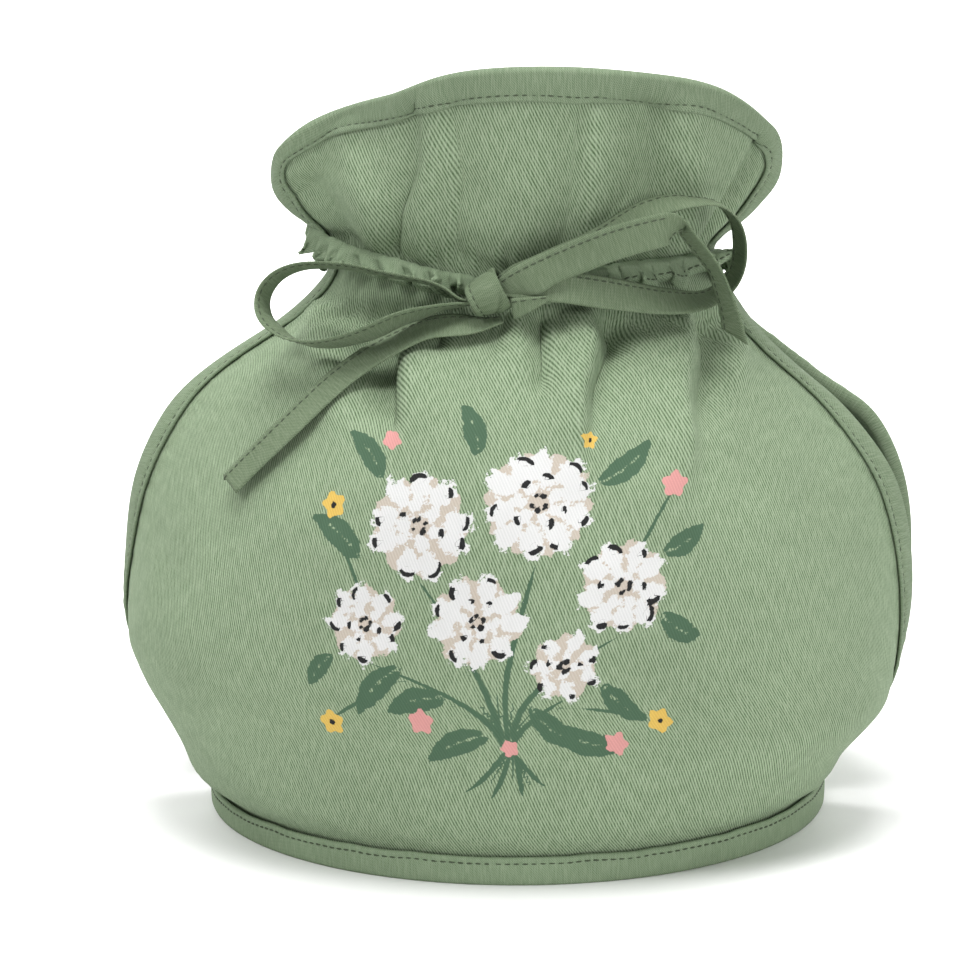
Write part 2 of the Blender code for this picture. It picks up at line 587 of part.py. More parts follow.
front_neck = neck_sheet(FRONT_SECTIONS, FRONT_FOLDS, FRONT_DIPS)
back_neck = neck_sheet(BACK_SECTIONS, BACK_FOLDS, BACK_DIPS)
for name, start, stop, half_tall, columns, left_ear, right_ear in CASINGS:
    behind = name.startswith("back")
    add_casing(name, back_neck if behind else front_neck, start, stop, half_tall, columns,
               (left_ear, right_ear), behind, BINDING_GREEN)
add_neck_run("tie_neck_run", front_neck, back_neck, 4.0, BINDING_GREEN)
add_knot("tie_knot", 16, BINDING_GREEN)
add_ribbon("tie_loop_left", LOOP_LEFT, 4.4, BINDING_GREEN)
add_ribbon("tie_loop_right", LOOP_RIGHT, 4.4, BINDING_GREEN)
add_ribbon("tie_tail_left", TAIL_LEFT, 5.0, BINDING_GREEN, hold=0.5, cut=2.0)
add_ribbon("tie_tail_right", TAIL_RIGHT, 4.4, BINDING_GREEN, cut=2.5)
add_ribbon("tie_tuck", TUCK, 4.0, BINDING_GREEN)
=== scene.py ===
import math
import bmesh
import bpy
import numpy as np
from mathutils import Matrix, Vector


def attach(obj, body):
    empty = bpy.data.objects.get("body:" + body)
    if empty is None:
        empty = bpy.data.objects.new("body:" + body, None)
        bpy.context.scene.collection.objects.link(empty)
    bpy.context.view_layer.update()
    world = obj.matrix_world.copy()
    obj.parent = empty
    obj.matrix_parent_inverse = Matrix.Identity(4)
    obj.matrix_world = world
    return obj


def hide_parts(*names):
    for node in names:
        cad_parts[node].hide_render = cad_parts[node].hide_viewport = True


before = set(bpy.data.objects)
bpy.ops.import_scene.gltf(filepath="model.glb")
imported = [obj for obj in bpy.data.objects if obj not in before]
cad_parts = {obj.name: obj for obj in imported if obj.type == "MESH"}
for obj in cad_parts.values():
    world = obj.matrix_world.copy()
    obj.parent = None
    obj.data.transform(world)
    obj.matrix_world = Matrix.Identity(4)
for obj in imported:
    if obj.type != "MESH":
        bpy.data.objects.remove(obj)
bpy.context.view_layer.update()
print("frame loaded:", len(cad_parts), "nodes")

# Lengths in the dictionaries are millimetres, except those of the camera and the lights, which are metres,
# as meshes are.
mm = 0.001
toCentre = np.array([-0.48, 0.80, 0.0])   # puts the middle of the whole over the origin


def addObject(name, data):
    # a new object in the scene, made of the data
    thing = bpy.data.objects.new(name, data)
    bpy.context.scene.collection.objects.link(thing)
    return thing


def aim(thing, place, target):
    # stands a camera or a lamp at its place and turns it to face the target
    thing.location = place
    thing.rotation_mode = "QUATERNION"
    thing.rotation_quaternion = Vector(np.subtract(target, place)).to_track_quat("-Z", "Y")


# camera: as far away as a portrait lens stands, a little right of the middle and looking down
view = {
    "distance": 1.0,
    "azimuth": 4.0,          # degrees to the right of straight ahead
    "height": 0.285,
    "target": (0.0, 0.0, 0.115),
    "lens": 126.8,
    "shift": (-0.0396, -0.0633),
}


def addCamera(v):
    # it stands on a circle round the target, turned by the azimuth, at its own height
    data = bpy.data.cameras.new("camera")
    data.lens, data.sensor_width = v["lens"], 36
    data.shift_x, data.shift_y = v["shift"]
    camera = addObject("camera", data)
    turn = math.radians(v["azimuth"])
    place = np.array([math.sin(turn) * v["distance"], -math.cos(turn) * v["distance"], v["height"]])
    aim(camera, place + toCentre * mm, np.array(v["target"]) + toCentre * mm)
    bpy.context.scene.camera = camera


addCamera(view)
print("camera set")


# curves, grids and meshes
def smoothThrough(knots, values, at):
    # natural cubic spline through the rows of a table: second derivatives from the usual three-term
    # system, then each stretch as a blend of its two ends
    knots, values, at = (np.asarray(a, float) for a in (knots, values, at))
    count, gap = len(knots), np.diff(knots)
    slope = np.diff(values, axis=0) / gap[:, None]
    system, right = np.eye(count), np.zeros(values.shape)
    for i in range(1, count - 1):
        system[i, i - 1:i + 2] = gap[i - 1], 2 * (gap[i - 1] + gap[i]), gap[i]
        right[i] = 6 * (slope[i] - slope[i - 1])
    bend = np.linalg.solve(system, right)
    i = np.clip(np.searchsorted(knots, at) - 1, 0, count - 2)
    step = gap[i][:, None]
    near, far = at[:, None] - knots[i][:, None], knots[i + 1][:, None] - at[:, None]
    return ((bend[i] * far ** 3 + bend[i + 1] * near ** 3) / (6 * step)
            + (values[i] / step - bend[i] * step / 6) * far
            + (values[i + 1] / step - bend[i + 1] * step / 6) * near)


def ease(t, start=0, over=1):
    # 0 up to the start, 1 from there on by what it runs over, a smooth step between
    t = np.clip((t - start) / over, 0, 1)
    return t * t * (3 - 2 * t)


def bell(off, left, right=None):
    # 1 at nought, falling away as the exponential of minus the square, with its own width to either side
    return np.exp(-(off / (left if right is None else np.where(off < 0, left, right))) ** 2)


def unit(v):
    # each vector over its length
    return v / np.maximum(np.linalg.norm(v, axis=-1, keepdims=True), 1e-12)


def runAlong(points):
    # how far along a line each of its points lies
    return np.concatenate([[0], np.cumsum(np.linalg.norm(np.diff(points, axis=0), axis=1))])


def wander(x, seed, pitch):
    # a smooth uneven wave between about -1 and 1: four sines whose lengths have no common measure
    fullTurn = 6.283
    shift = np.random.default_rng(seed).random(4) * fullTurn
    x = np.asarray(x, float) * (fullTurn / pitch)
    return (np.sin(x + shift[0]) + 0.7 * np.sin(1.618 * x + shift[1])
            + 0.6 * np.sin(0.553 * x + shift[2]) + 0.4 * np.sin(2.71 * x + shift[3])) / 2.0


def gridQuads(rows, columns, wrapRows=False, wrapColumns=False):
    # point numbers of each cell's four corners in a grid, which may close on itself either way
    i = np.arange(rows if wrapRows else rows - 1)[:, None]
    j = np.arange(columns if wrapColumns else columns - 1)[None, :]
    up, on = (i + 1) % rows, (j + 1) % columns
    return np.stack(np.broadcast_arrays(i * columns + j, i * columns + on, up * columns + on, up * columns + j),
                    axis=-1).reshape(-1, 4)


def cornerUv(u, v):
    # flat coordinates for each quad's four corners, from grids one larger than the quads each way
    flat = np.stack(np.broadcast_arrays(u, v), axis=-1)
    return np.stack([flat[:-1, :-1], flat[:-1, 1:], flat[1:, 1:], flat[1:, :-1]], axis=2).reshape(-1, 4, 2)


def makePiece(name, points, quads, corners, material, node=None, fields=(), caps=()):
    # Points and corners in millimetres, quads of point numbers; caps are rings closed by one face each. A
    # piece that stands for a CAD node hides that node.
    mesh = bpy.data.meshes.new(name)
    mesh.from_pydata(((points.reshape(-1, 3) + toCentre) * mm).tolist(), [], quads.tolist() + [list(c) for c in caps])
    flat = np.zeros((len(mesh.loops), 2), np.float32)
    flat[:len(quads) * 4] = corners.reshape(-1, 2) * mm
    mesh.uv_layers.new(name="cloth").data.foreach_set("uv", flat.ravel())
    for title, values in fields:
        mesh.attributes.new(title, "FLOAT", "POINT").data.foreach_set("value", np.asarray(values, np.float32).ravel())
    outward = bmesh.new()
    outward.from_mesh(mesh)
    bmesh.ops.recalc_face_normals(outward, faces=outward.faces)
    outward.to_mesh(mesh)
    outward.free()
    mesh.shade_smooth()
    mesh.materials.append(material)
    piece = addObject(name, mesh)
    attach(piece, "root")
    if node:
        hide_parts(node)
    return piece


borderShare = 0.55       # a sheet's thickness at its border, against that of the rest


def thickSheet(name, middle, normals, half, u, v, material, node, fields=()):
    # a closed sheet: the middle surface moved out and in along its normals, its border closed all round
    rows, columns = middle.shape[:2]
    half = np.broadcast_to(half, (rows, columns)).copy()
    for edge in (half[0], half[-1], half[:, 0], half[:, -1]):
        edge *= borderShare
    points = np.stack([middle + normals * half[..., None], middle - normals * half[..., None]])
    size = rows * columns
    index = np.arange(size).reshape(rows, columns)
    ring = np.concatenate([index[0, :-1], index[:-1, -1], index[-1, :0:-1], index[:0:-1, 0]])
    after = np.roll(ring, -1)
    sides = np.stack([ring, after, after + size, ring + size], axis=1)
    quads = gridQuads(rows, columns)
    every = np.concatenate([quads, quads[:, ::-1] + size, sides])
    flat = np.stack(np.broadcast_arrays(u, v), axis=-1)
    flat = np.broadcast_to(flat, (2, rows, columns, 2)).reshape(-1, 2)
    return makePiece(name, points, every, flat[every], material, node, fields)


# cloth materials
class Shading:
    # One material's nodes, with short names for those that the cloths are built from. A socket is fed either
    # another node's output or a plain number, colour or vector.
    def __init__(self, name):
        self.material = bpy.data.materials.new(name)
        self.material.use_nodes = True
        self.tree = self.material.node_tree

    def feed(self, inputs, sockets):
        for key, value in sockets.items():
            if hasattr(value, "is_linked"):
                self.tree.links.new(value, inputs[key])
            else:
                inputs[key].default_value = value

    def node(self, kind, sockets={}, **settings):
        # a node with its settings made and its sockets fed
        made = self.tree.nodes.new("ShaderNode" + kind)
        for key, value in settings.items():
            setattr(made, key, value)
        self.feed(made.inputs, sockets)
        return made.outputs

    def sums(self, operation, *values):
        # one operation of arithmetic on its values
        return self.node("Math", dict(enumerate(values)), operation=operation)[0]

    def add(self, a, b):
        return self.sums("ADD", a, b)

    def times(self, a, b):
        return self.sums("MULTIPLY", a, b)

    def wave(self, turns, rate=2 * math.pi):
        # a sine between 0 and 1
        return self.sums("MULTIPLY_ADD", self.sums("SINE", self.times(turns, rate)), 0.5, 0.5)

    def mix(self, share, first, second):
        # the first colour at a share of 0, the second at 1
        first, second = ((*c, 1.0) if isinstance(c, tuple) else c for c in (first, second))
        return self.node("Mix", {0: share, 6: first, 7: second}, data_type="RGBA")[2]

    def ramp(self, value, low, high, outLow=0.0, outHigh=1.0):
        # a smooth step
        return self.node("MapRange", dict(enumerate((value, low, high, outLow, outHigh))),
                         interpolation_type="SMOOTHSTEP")[0]

    def noise(self, vector, scale, detail=2.0, roughness=0.5):
        return self.node("TexNoise", {"Vector": vector, "Scale": scale, "Detail": detail,
                                      "Roughness": roughness})["Fac"]

    def bump(self, height, strength, depth, **under):
        return self.node("Bump", {"Height": height, "Strength": strength, "Distance": depth * mm, **under})[0]

    def finish(self, sockets):
        self.feed(self.tree.nodes["Principled BSDF"].inputs, sockets)
        return self.material


# cells of noise in a metre, and the values between which a smooth step runs
cells = {"jitter": 260.0, "yarn": 2600.0, "fleck": 1500.0, "dye": 22.0, "crumple": 140.0, "ply": 900.0,
         "brush": 420.0}
steps = {"weave": (0.15, 0.85), "yarn": (0.35, 0.75), "fleck": (0.55, 0.85), "dye": (0.25, 0.75), "ply": (0.2, 0.9)}


def wovenCloth(name, look, prints=None):
    # Woven cloth from the piece's flat UV in metres: one wave across the ribs, a second along them that
    # breaks each rib into threads; both drive colour and bump, the colour darker in the valleys between ribs
    # as painted shade and lighter on the ribs as painted light, and slow noise gives the uneven dye.
    s = Shading(name)
    uv, place = s.node("UVMap", uv_map="cloth")[0], s.node("TexCoord")["Object"]
    u, v = s.node("SeparateXYZ", {0: uv})[:2]
    turn = math.radians(look["ribTurn"])

    def slanted(overU, overV, pitch):
        # waves counted along a slanted direction
        return s.add(s.times(u, overU / look[pitch] / mm), s.times(v, overV / look[pitch] / mm))

    jitter = s.times(s.sums("SUBTRACT", s.noise(uv, cells["jitter"]), 0.5), look["ribJitter"])
    across = s.add(slanted(math.cos(turn), math.sin(turn), "ribPitch"), jitter)
    along = slanted(-math.sin(turn), math.cos(turn), "threadPitch")
    rib, thread = s.wave(across), s.wave(s.add(along, s.times(s.sums("FLOOR", across), 0.5)))
    weave = s.add(s.times(rib, 1.0 - look["threadShare"]), s.times(thread, look["threadShare"]))
    stretched = s.node("Mapping", {"Vector": uv, "Rotation": (0, 0, turn), "Scale": (1.0, 0.08, 1.0)})[0]
    yarn = s.noise(stretched, cells["yarn"], 2.0, 0.6)
    dye = s.noise(place, cells["dye"], 3.0, 0.55)
    fleck = s.noise(uv, cells["fleck"], 2.0, 0.6)
    # painted shade in the weave's valleys and painted light on its ridges
    colour = s.mix(s.ramp(weave, *steps["weave"]), look["valley"], look["ridge"])
    colour = s.mix(s.ramp(yarn, *steps["yarn"], 0.0, look["yarnShare"]), colour, look["light"])
    colour = s.mix(s.ramp(fleck, *steps["fleck"], 0.0, look["fleckShare"]), colour, look["valley"])
    if prints:
        colour = prints(s, colour, weave, uv)
    value = s.ramp(dye, *steps["dye"], 1.0 - look["dye"], 1.0 + look["dye"])
    threads = s.bump(s.add(s.times(weave, 0.7), s.times(yarn, 0.35)), look["bump"], look["bumpDepth"])
    crumpled = s.bump(s.noise(place, cells["crumple"], 3.0), 0.5, look["crumple"], Normal=threads)
    return s.finish({"Base Color": s.node("HueSaturation", {"Color": colour, "Value": value})[0],
                     "Normal": crumpled, "Roughness": s.ramp(weave, 0.0, 1.0, 0.95, 0.80),
                     "Specular IOR Level": 0.25, "Sheen Weight": look["sheen"], "Sheen Roughness": 0.6,
                     "Sheen Tint": (*look["light"], 1.0)})


# valley and ridge: the weave's colour, darker in its hollows as painted shade and lighter on its ribs as painted light
twillLook = {
    "ribPitch": 0.79, "ribTurn": 25.0, "ribJitter": 0.10, "threadPitch": 0.9, "threadShare": 0.14,
    "valley": (0.074, 0.117, 0.058), "ridge": (0.254, 0.331, 0.211), "light": (0.40, 0.48, 0.34),
    "yarnShare": 0.40, "fleckShare": 0.30, "dye": 0.05, "bump": 0.6, "bumpDepth": 0.16, "crumple": 0.5,
    "sheen": 0.06,
}
bindingLook = {
    "ribPitch": 0.46, "ribTurn": 42.0, "ribJitter": 0.5, "threadPitch": 0.46, "threadShare": 0.5,
    "valley": (0.088, 0.130, 0.072), "ridge": (0.192, 0.252, 0.158), "light": (0.29, 0.35, 0.245),
    "yarnShare": 0.4, "fleckShare": 0.3, "dye": 0.06, "bump": 0.4, "bumpDepth": 0.12, "crumple": 0.7,
    "sheen": 0.06,
}
# the bias cloth made lighter for the casings' frills: painted light, where they sit in shade under the collar
litFrillLook = dict(bindingLook, valley=(0.105, 0.152, 0.086), ridge=(0.222, 0.289, 0.183))
# the bias cloth made lighter for the hem: painted light
litHemLook = dict(bindingLook, valley=(0.110, 0.163, 0.090), ridge=(0.240, 0.315, 0.198), light=(0.33, 0.40, 0.28))
# the bias cloth made darker for the tie: painted shade, as the tape faces forward and down
shadedTapeLook = dict(bindingLook, ribTurn=-38.0, valley=(0.068, 0.101, 0.053), ridge=(0.150, 0.197, 0.118),
                light=(0.23, 0.28, 0.19))
# a green thread made much darker: painted shade of the stitch holes and groove; its lighter colour is painted light on
# the ply crowns
threadLook = {"colour": (0.028, 0.043, 0.021), "light": (0.07, 0.095, 0.05), "twistPitch": 0.5}


def sewingThread(name, look):
    # two plies twisted: fine bands that slant across the part's own axes, lighter on the plies' crowns as painted light
    s = Shading(name)
    place = s.node("TexCoord")["Object"]
    x, y, z = s.node("SeparateXYZ", {0: place})
    twist = s.wave(s.add(s.add(x, y), z), 2 * math.pi / (look["twistPitch"] * mm))
    plies = s.add(s.times(twist, 0.6), s.times(s.noise(place, cells["ply"]), 0.4))
    return s.finish({"Base Color": s.mix(s.ramp(plies, *steps["ply"]), look["colour"], look["light"]),
                     "Normal": s.bump(twist, 0.4, 0.05), "Roughness": 0.7})


# the two panels
cloth = {
    "padThick": 3.6, "edgeThick": 2.0, "edgeFlat": 9.0, "padFull": 22.0,   # wadding, and pressed flat in a binding
    "bindWall": 0.9, "bindWidth": 8.6, "rimWidth": 7.6,
    "fitGap": 0.35, "neckGap": 0.7, "sideArm": 0.56, "sideClimb": 0.45, "neckRow": 12,
    "corner": (8.0, 15.0), "innerCorner": (5.0, 10.0),     # rounding at the rim's two corners
    "baseGrid": (247, 321), "fineSteps": 401,
    "pucker": 0.35, "puckerPitch": 9.0, "puckerAt": (4, 5),      # by the stitching: how far in, how wide
    "uneven": 0.45, "unevenPitch": (46.0, 38.0),
}
# where folds fade: each smooth step's start, and what it runs over
fades = {
    "foldIn": (0.04, 0.2), "foldOut": (0.3, 0.7),                 # in shares of a fold's length
    "creaseIn": (4.5, 6), "creaseStart": 6, "side": (0, 14),      # from the neck, a crease's start, the sides
    "gatherIn": (3, 6), "gatherOut": (0.25, 0.75),                # from the neck, and in shares of its reach
    "gatherSpread": (0.25, 40),                                   # how much wider its ripples get, and by when
}
# how closely the panels are laid out: closest behind the print, which lies this far to either side
sampling = {"printHalf": 55.0, "printShare": 0.37, "printColumns": 139, "sideColumns": 40, "backColumns": 129,
            "frontRows": ((0, 14), (26, 135), (134, 68)), "backRows": 130}
# each section: centre line, flat part, then each side edge and the way the cloth points there
sectionColumns = ("xMid", "yMid", "zMid", "flat", "xLeft", "yLeft", "zLeft", "leanLeft",
                  "xRight", "yRight", "zRight", "leanRight")
frontPanel = {
    "facing": 1,
    "sections": (
        (0, -94.0, 2.6, 0.53, -90.5, -5, 2.6, 87, 90.5, -5, 2.6, 87),
        (0, -94.0, 8.7, 0.53, -90.5, -5, 7.1, 87, 90.5, -5, 9.8, 87),
        (0, -97.5, 13.5, 0.53, -91.4, -7, 11.5, 98, 91.6, -7, 14.0, 98),
        (0, -101, 24, 0.53, -93.4, -9, 21, 107, 94.8, -9, 23, 105),
        (0, -104.5, 38, 0.53, -101.6, -11, 37, 106, 106.0, -11, 36, 104),
        (0, -106.5, 55, 0.53, -113.0, -13, 53, 92, 113.8, -13, 52.5, 84),
        (0, -106, 78, 0.52, -114.7, -15, 77, 74, 115.4, -15, 76, 67),
        (0, -102, 100, 0.50, -111.4, -17, 98, 60, 111.6, -16, 97, 58),
        (0, -91.5, 120, 0.48, -104.0, -18, 115, 52, 103.6, -17, 111.6, 54),
        (0, -76.5, 136, 0.47, -94.2, -17, 127, 52, 92.6, -17, 124, 54),
        (0, -59.5, 146, 0.47, -77.4, -14, 139, 58, 79.0, -15, 135.2, 58),
        (0, -50, 153, 0.50, -62.4, -10, 149.8, 68, 66.0, -11, 148.6, 68),
        (1, -46, 160, 0.54, -53.0, -7, 162, 82, 58.2, -8, 161, 82),
        (2, -45, 167, 0.54, -54.4, -6, 170.6, 82, 56.2, -7, 168.4, 82),
        (4, -48, 179, 0.54, -61.0, -9, 176.6, 78, 63.6, -9, 176.6, 76),
        (7, -51, 194, 0.54, -66.4, -12, 181.2, 76, 70.8, -13, 184, 72),
        (10, -53, 210, 0.54, -69.2, -14, 186.2, 74, 75.2, -16, 191, 70),
        (12, -55, 222.2, 0.54, -69.2, -16, 192.4, 74, 76.2, -18, 199.4, 70),
    ),
    # creases: line of the fold (across from the middle, up from the neck), its width to the left and
    # right, how far it stands out, how far it fades past its far end, and before its near end
    "creases": (
        (((-66, 36), (-59, 26), (-52, 9)), 10, 8, -3.4, 16, 18),
        (((-52, 54), (-48, 43), (-44, 28), (-39, 9)), 7, 7, 2.6, 8, 10),
        (((-28.5, 57), (-26.5, 39), (-32.5, 23), (-33, 7)), 6, 1.8, -2.8, 5),
        (((-23.5, 57), (-22, 43), (-25, 24), (-25, 8)), 3.5, 4, 1.3, 6),
        (((-17.5, 56), (-15.5, 43), (-14, 33), (-15.5, 21), (-15, 8)), 1.8, 6, -1.5, 6),
        (((2, 50), (4, 30), (4, 10)), 12, 10, 1.2, 10),
        (((17.5, 50), (17, 39), (15, 20), (13, 8)), 7, 2.5, -1.8, 8),
        (((23.5, 50), (22.5, 39), (21.5, 20), (20, 8)), 2.5, 6, 1.8, 8),
        (((38, 56), (38.5, 43), (39.5, 30), (40.5, 22), (41, 10)), 8, 7, -4.6, 6, 10),
        (((50, 54), (51.5, 41), (52.5, 27), (52, 10)), 6, 7, 2.6, 8, 10),
        (((78, 56), (71.3, 42), (66.3, 30), (61.6, 20), (58, 8)), 2.0, 3.0, -2.2, 5),
        (((82, 51), (75.4, 36), (71.1, 27), (64, 10)), 3, 4, 1.2, 8),
        (((-65, -4), (-59, -20), (-46, -40)), 8, 9, 3.0, 24),
        (((-35.3, -3), (-34, -12), (-32, -22), (-29.5, -44)), 12, 2.4, -6.0, 15),
        (((-27, -4), (-26.5, -20), (-24, -40)), 3, 10, 2.2, 20),
        (((-18, -6), (-19, -20)), 3, 2.5, -2.4, 8),
        (((-3, -8), (-3, -20)), 4, 3, -1.4, 12),
        (((2, -6), (3, -20), (4, -34)), 7, 5, 1.6, 12),
        (((9, -6), (10, -20), (12, -34)), 4, 2.5, -2.8, 12),
        (((19.5, -5), (23, -16), (23.3, -28), (21.5, -46)), 7, 2.2, 3.0, 26),
        (((25.8, -4), (27.6, -14), (28.2, -24), (26.5, -34)), 2.4, 8, -4.2, 30),
        (((27, -4), (30, -13)), 3.0, 7, -3.4, 14),
        (((52, -6), (52, -18), (52, -44), (53.5, -56)), 8, 3, 3.0, 24),
        (((59.5, -8), (59.5, -19), (60, -38)), 3, 7, -3.6, 20),
        (((72, -8), (72, -18), (72, -30)), 4, 5, 1.4, 12),
    ),
    "dips": ((-0.42, 0.34, 0.16, 3.4), (0.66, 0.22, 0.22, -2.2)),
    # where the collar leans back: from the middle, widths left and right, from and to above the neck, how far
    "leans": ((-51, 22, 19, 10, 63, 13.5),),
    "gather": {"pitch": 0.085, "depth": 0.7, "down": 26.0, "up": 20.0, "seed": 5},
}
backPanel = {
    "facing": -1,
    "sections": (
        (0, -94.0, 2.6, 0.53, -90.5, -5, 2.6, 87, 90.5, -5, 2.6, 87),
        (0, -94.0, 8.7, 0.53, -90.5, -5, 7.1, 87, 90.5, -5, 9.8, 87),
        (0, -97, 13.5, 0.53, -91.2, -7, 11.5, 97, 91.4, -7, 14.0, 97),
        (0, -100, 24, 0.53, -93.0, -9, 21, 105, 94.2, -9, 23, 104),
        (0, -103, 38, 0.53, -101.0, -10, 37, 104, 105.0, -10, 36, 102),
        (0, -105, 55, 0.53, -111.2, -11, 53, 92, 113.8, -11, 52.5, 86),
        (0, -104, 78, 0.52, -112.4, -12, 77, 80, 116.4, -12, 76, 76),
        (0, -99, 100, 0.52, -108.6, -15, 98, 70, 113.6, -12, 98, 70),
        (0, -89, 118, 0.50, -100.6, -16, 113, 64, 104.8, -12, 115.4, 66),
        (0, -76, 133, 0.50, -89.4, -14, 124.8, 62, 92.2, -12, 124.6, 64),
        (0, -63, 144, 0.50, -73.4, -12, 136.6, 64, 76.6, -11, 136.4, 64),
        (0, -51, 151, 0.52, -60.0, -9, 147.6, 72, 63.0, -9, 147.6, 72),
        (0, -41, 157, 0.54, -51.6, -6, 160, 82, 56.0, -6, 159, 82),
        (0, -39, 163, 0.54, -51.6, -5, 167.4, 84, 54.0, -5, 166.4, 84),
        (0, -40, 173, 0.54, -56.0, -7, 173.4, 80, 59.0, -7, 173.4, 80),
        (2, -41, 184, 0.54, -60.0, -9, 177, 78, 64.0, -9, 177.6, 78),
        (3, -42, 195, 0.54, -62.0, -11, 180.4, 76, 66.8, -11, 181.8, 76),
        (4, -43, 203.6, 0.54, -61.6, -12, 184.8, 76, 66.2, -12, 187, 76),
    ),
    # folds: share across at the neck and at the far end, widths left and right, how far out, how far up
    "folds": (
        (-0.55, -0.45, 0.10, 0.10, -2.4, -60),
        (-0.25, -0.20, 0.12, 0.12, 2.2, -55),
        (0.10, 0.08, 0.10, 0.10, -2.6, -60),
        (0.42, 0.36, 0.12, 0.12, 2.2, -60),
        (-0.55, -0.50, 0.12, 0.12, -3.0, 80),
        (-0.18, -0.14, 0.12, 0.12, 2.4, 80),
        (0.20, 0.16, 0.12, 0.12, -3.0, 80),
        (0.58, 0.52, 0.12, 0.12, 2.2, 80),
    ),
    "dips": ((0.1, 0.4, 0.4, 1.5),),
    "gather": {"pitch": 0.10, "depth": 0.8, "down": 30.0, "up": 24.0, "seed": 9},
}


def centreReach(sections):
    # how far up the centre line each section lies, from the hem's edge
    return runAlong(np.array(sections, float)[:, 1:3])


def gridNormals(points):
    # across each point's row and up its column, one turned on the other
    return unit(np.cross(np.gradient(points, axis=1), np.gradient(points, axis=0)))


def panelSheet(panel, reach, places):
    # Middle surface of a panel. Each row is two bezier curves from the centre line to the side edges, its
    # ends read off splines through the sections; the folds push it along its normal, widest mid-run.
    knots = centreReach(panel["sections"])
    row = dict(zip(sectionColumns, smoothThrough(knots, panel["sections"], reach).T[:, :, None]))
    step = np.linspace(-1, 1, cloth["fineSteps"])[None, :]

    def bowed(start, startArm, endArm, end):
        # a cubic bezier from the centre line out
        t = np.abs(step)
        return ((1 - t) ** 3 * start + 3 * t * (1 - t) ** 2 * startArm + 3 * t * t * (1 - t) * endArm + t ** 3 * end)

    def halfRow(side, sign):
        # straight out for the flat part, then bent to arrive at the edge the way the cloth points there
        xEnd, yEnd, zEnd = (row[k + side] for k in "xyz")
        lean = np.radians(row["lean" + side])
        arm = cloth["sideArm"] * (yEnd - row["yMid"])
        xMid, yMid, zMid = row["xMid"], row["yMid"], row["zMid"]
        return (bowed(xMid, xMid + row["flat"] * (xEnd - xMid), xEnd - sign * arm * np.cos(lean), xEnd),
                bowed(yMid, yMid, yEnd - arm * np.sin(lean), yEnd),
                bowed(zMid, zMid, zMid + cloth["sideClimb"] * (zEnd - zMid), zEnd))

    x, y, z = (np.where(step < 0, a, b) for a, b in zip(halfRow("Left", -1), halfRow("Right", 1)))
    fine = np.stack([x, y, z], 2)
    run = np.linalg.norm(np.diff(fine, axis=1), axis=2).cumsum(axis=1)
    run = np.concatenate([np.zeros((len(run), 1)), run], 1)
    place = np.array([places(length) for length in run[:, -1]])
    points = np.stack([[np.interp(p, r, f[:, k]) for k in range(3)]
                       for p, r, f in zip(place, run, fine)]).transpose(0, 2, 1)
    across = 2 * place / run[:, -1:] - 1
    side = np.minimum(place, run[:, -1:] - place)
    above = (np.asarray(reach, float) - knots[cloth["neckRow"]])[:, None]
    push = np.zeros(across.shape)
    for atNeck, atEnd, left, right, amount, length in panel.get("folds", ()):
        t = above / length
        off = across - (atNeck + (atEnd - atNeck) * np.clip(t, 0, 1))
        push += (amount * bell(off, left, right) * ease(t, *fades["foldIn"]) * (1 - ease(t, *fades["foldOut"]))
                 * (t > 0))
    fromMiddle = place - run[:, -1:] / 2
    for line, left, right, amount, fade, *start in panel.get("creases", ()):
        line = np.array(sorted(line, key=lambda p: p[1]), float)
        off = fromMiddle - np.interp(above, line[:, 1], line[:, 0])
        away, way = np.abs(above), np.sign(line[0, 1])
        nearEnd, farEnd = np.abs(line[:, 1]).min(), np.abs(line[:, 1]).max()
        before = start[0] if start else fades["creaseStart"]
        along = ease((away - nearEnd) / before + 1) * (1 - ease(away, farEnd, fade))
        push += amount * bell(off, left, right) * along * ease(away, *fades["creaseIn"]) * (above * way > 0)
    g = panel["gather"]      # small ripples close to the neck, wider the further they run
    widening, within = fades["gatherSpread"]
    spread = 1 - widening * np.clip(np.abs(above) / within, 0, 1)
    ripple = wander(across * spread, g["seed"], g["pitch"])
    reachOut = np.where(above > 0, above / g["up"], -above / g["down"])
    push += (g["depth"] * ripple * ease(np.abs(above), *fades["gatherIn"])
             * (1 - ease(reachOut, *fades["gatherOut"])))
    push *= ease(side, *fades["side"])
    collar = ease(above / (knots[-1] - knots[cloth["neckRow"]]))
    for dipAt, left, right, drop in panel["dips"]:
        off = across - dipAt
        points[:, :, 2] -= drop * collar * bell(off, left, right)
    points += gridNormals(points) * push[:, :, None]
    for fromCentre, left, right, low, high, back in panel.get("leans", ()):
        off = fromMiddle - fromCentre
        points[:, :, 1] += back * bell(off, left, right) * ease(above, low, high - low)
    normals = gridNormals(points)
    turned = np.array([1, panel["facing"], 1])
    return {"points": points * turned, "normals": normals * turned, "across": across, "side": side, "place": place,
            "length": run[:, -1], "reach": np.asarray(reach, float), "rim": knots[-1],
            "neck": knots[cloth["neckRow"]]}


def baseOf(panel):
    # the panel evenly sampled, for everything that lies on it
    rows, columns = cloth["baseGrid"]
    rim = centreReach(panel["sections"])[-1]
    sheet = panelSheet(panel, np.linspace(0, rim, rows), lambda length: np.linspace(0, length, columns))
    sheet["half"] = sheet["side"][np.abs(sheet["reach"] - sheet["neck"]).argmin()].max()
    return sheet


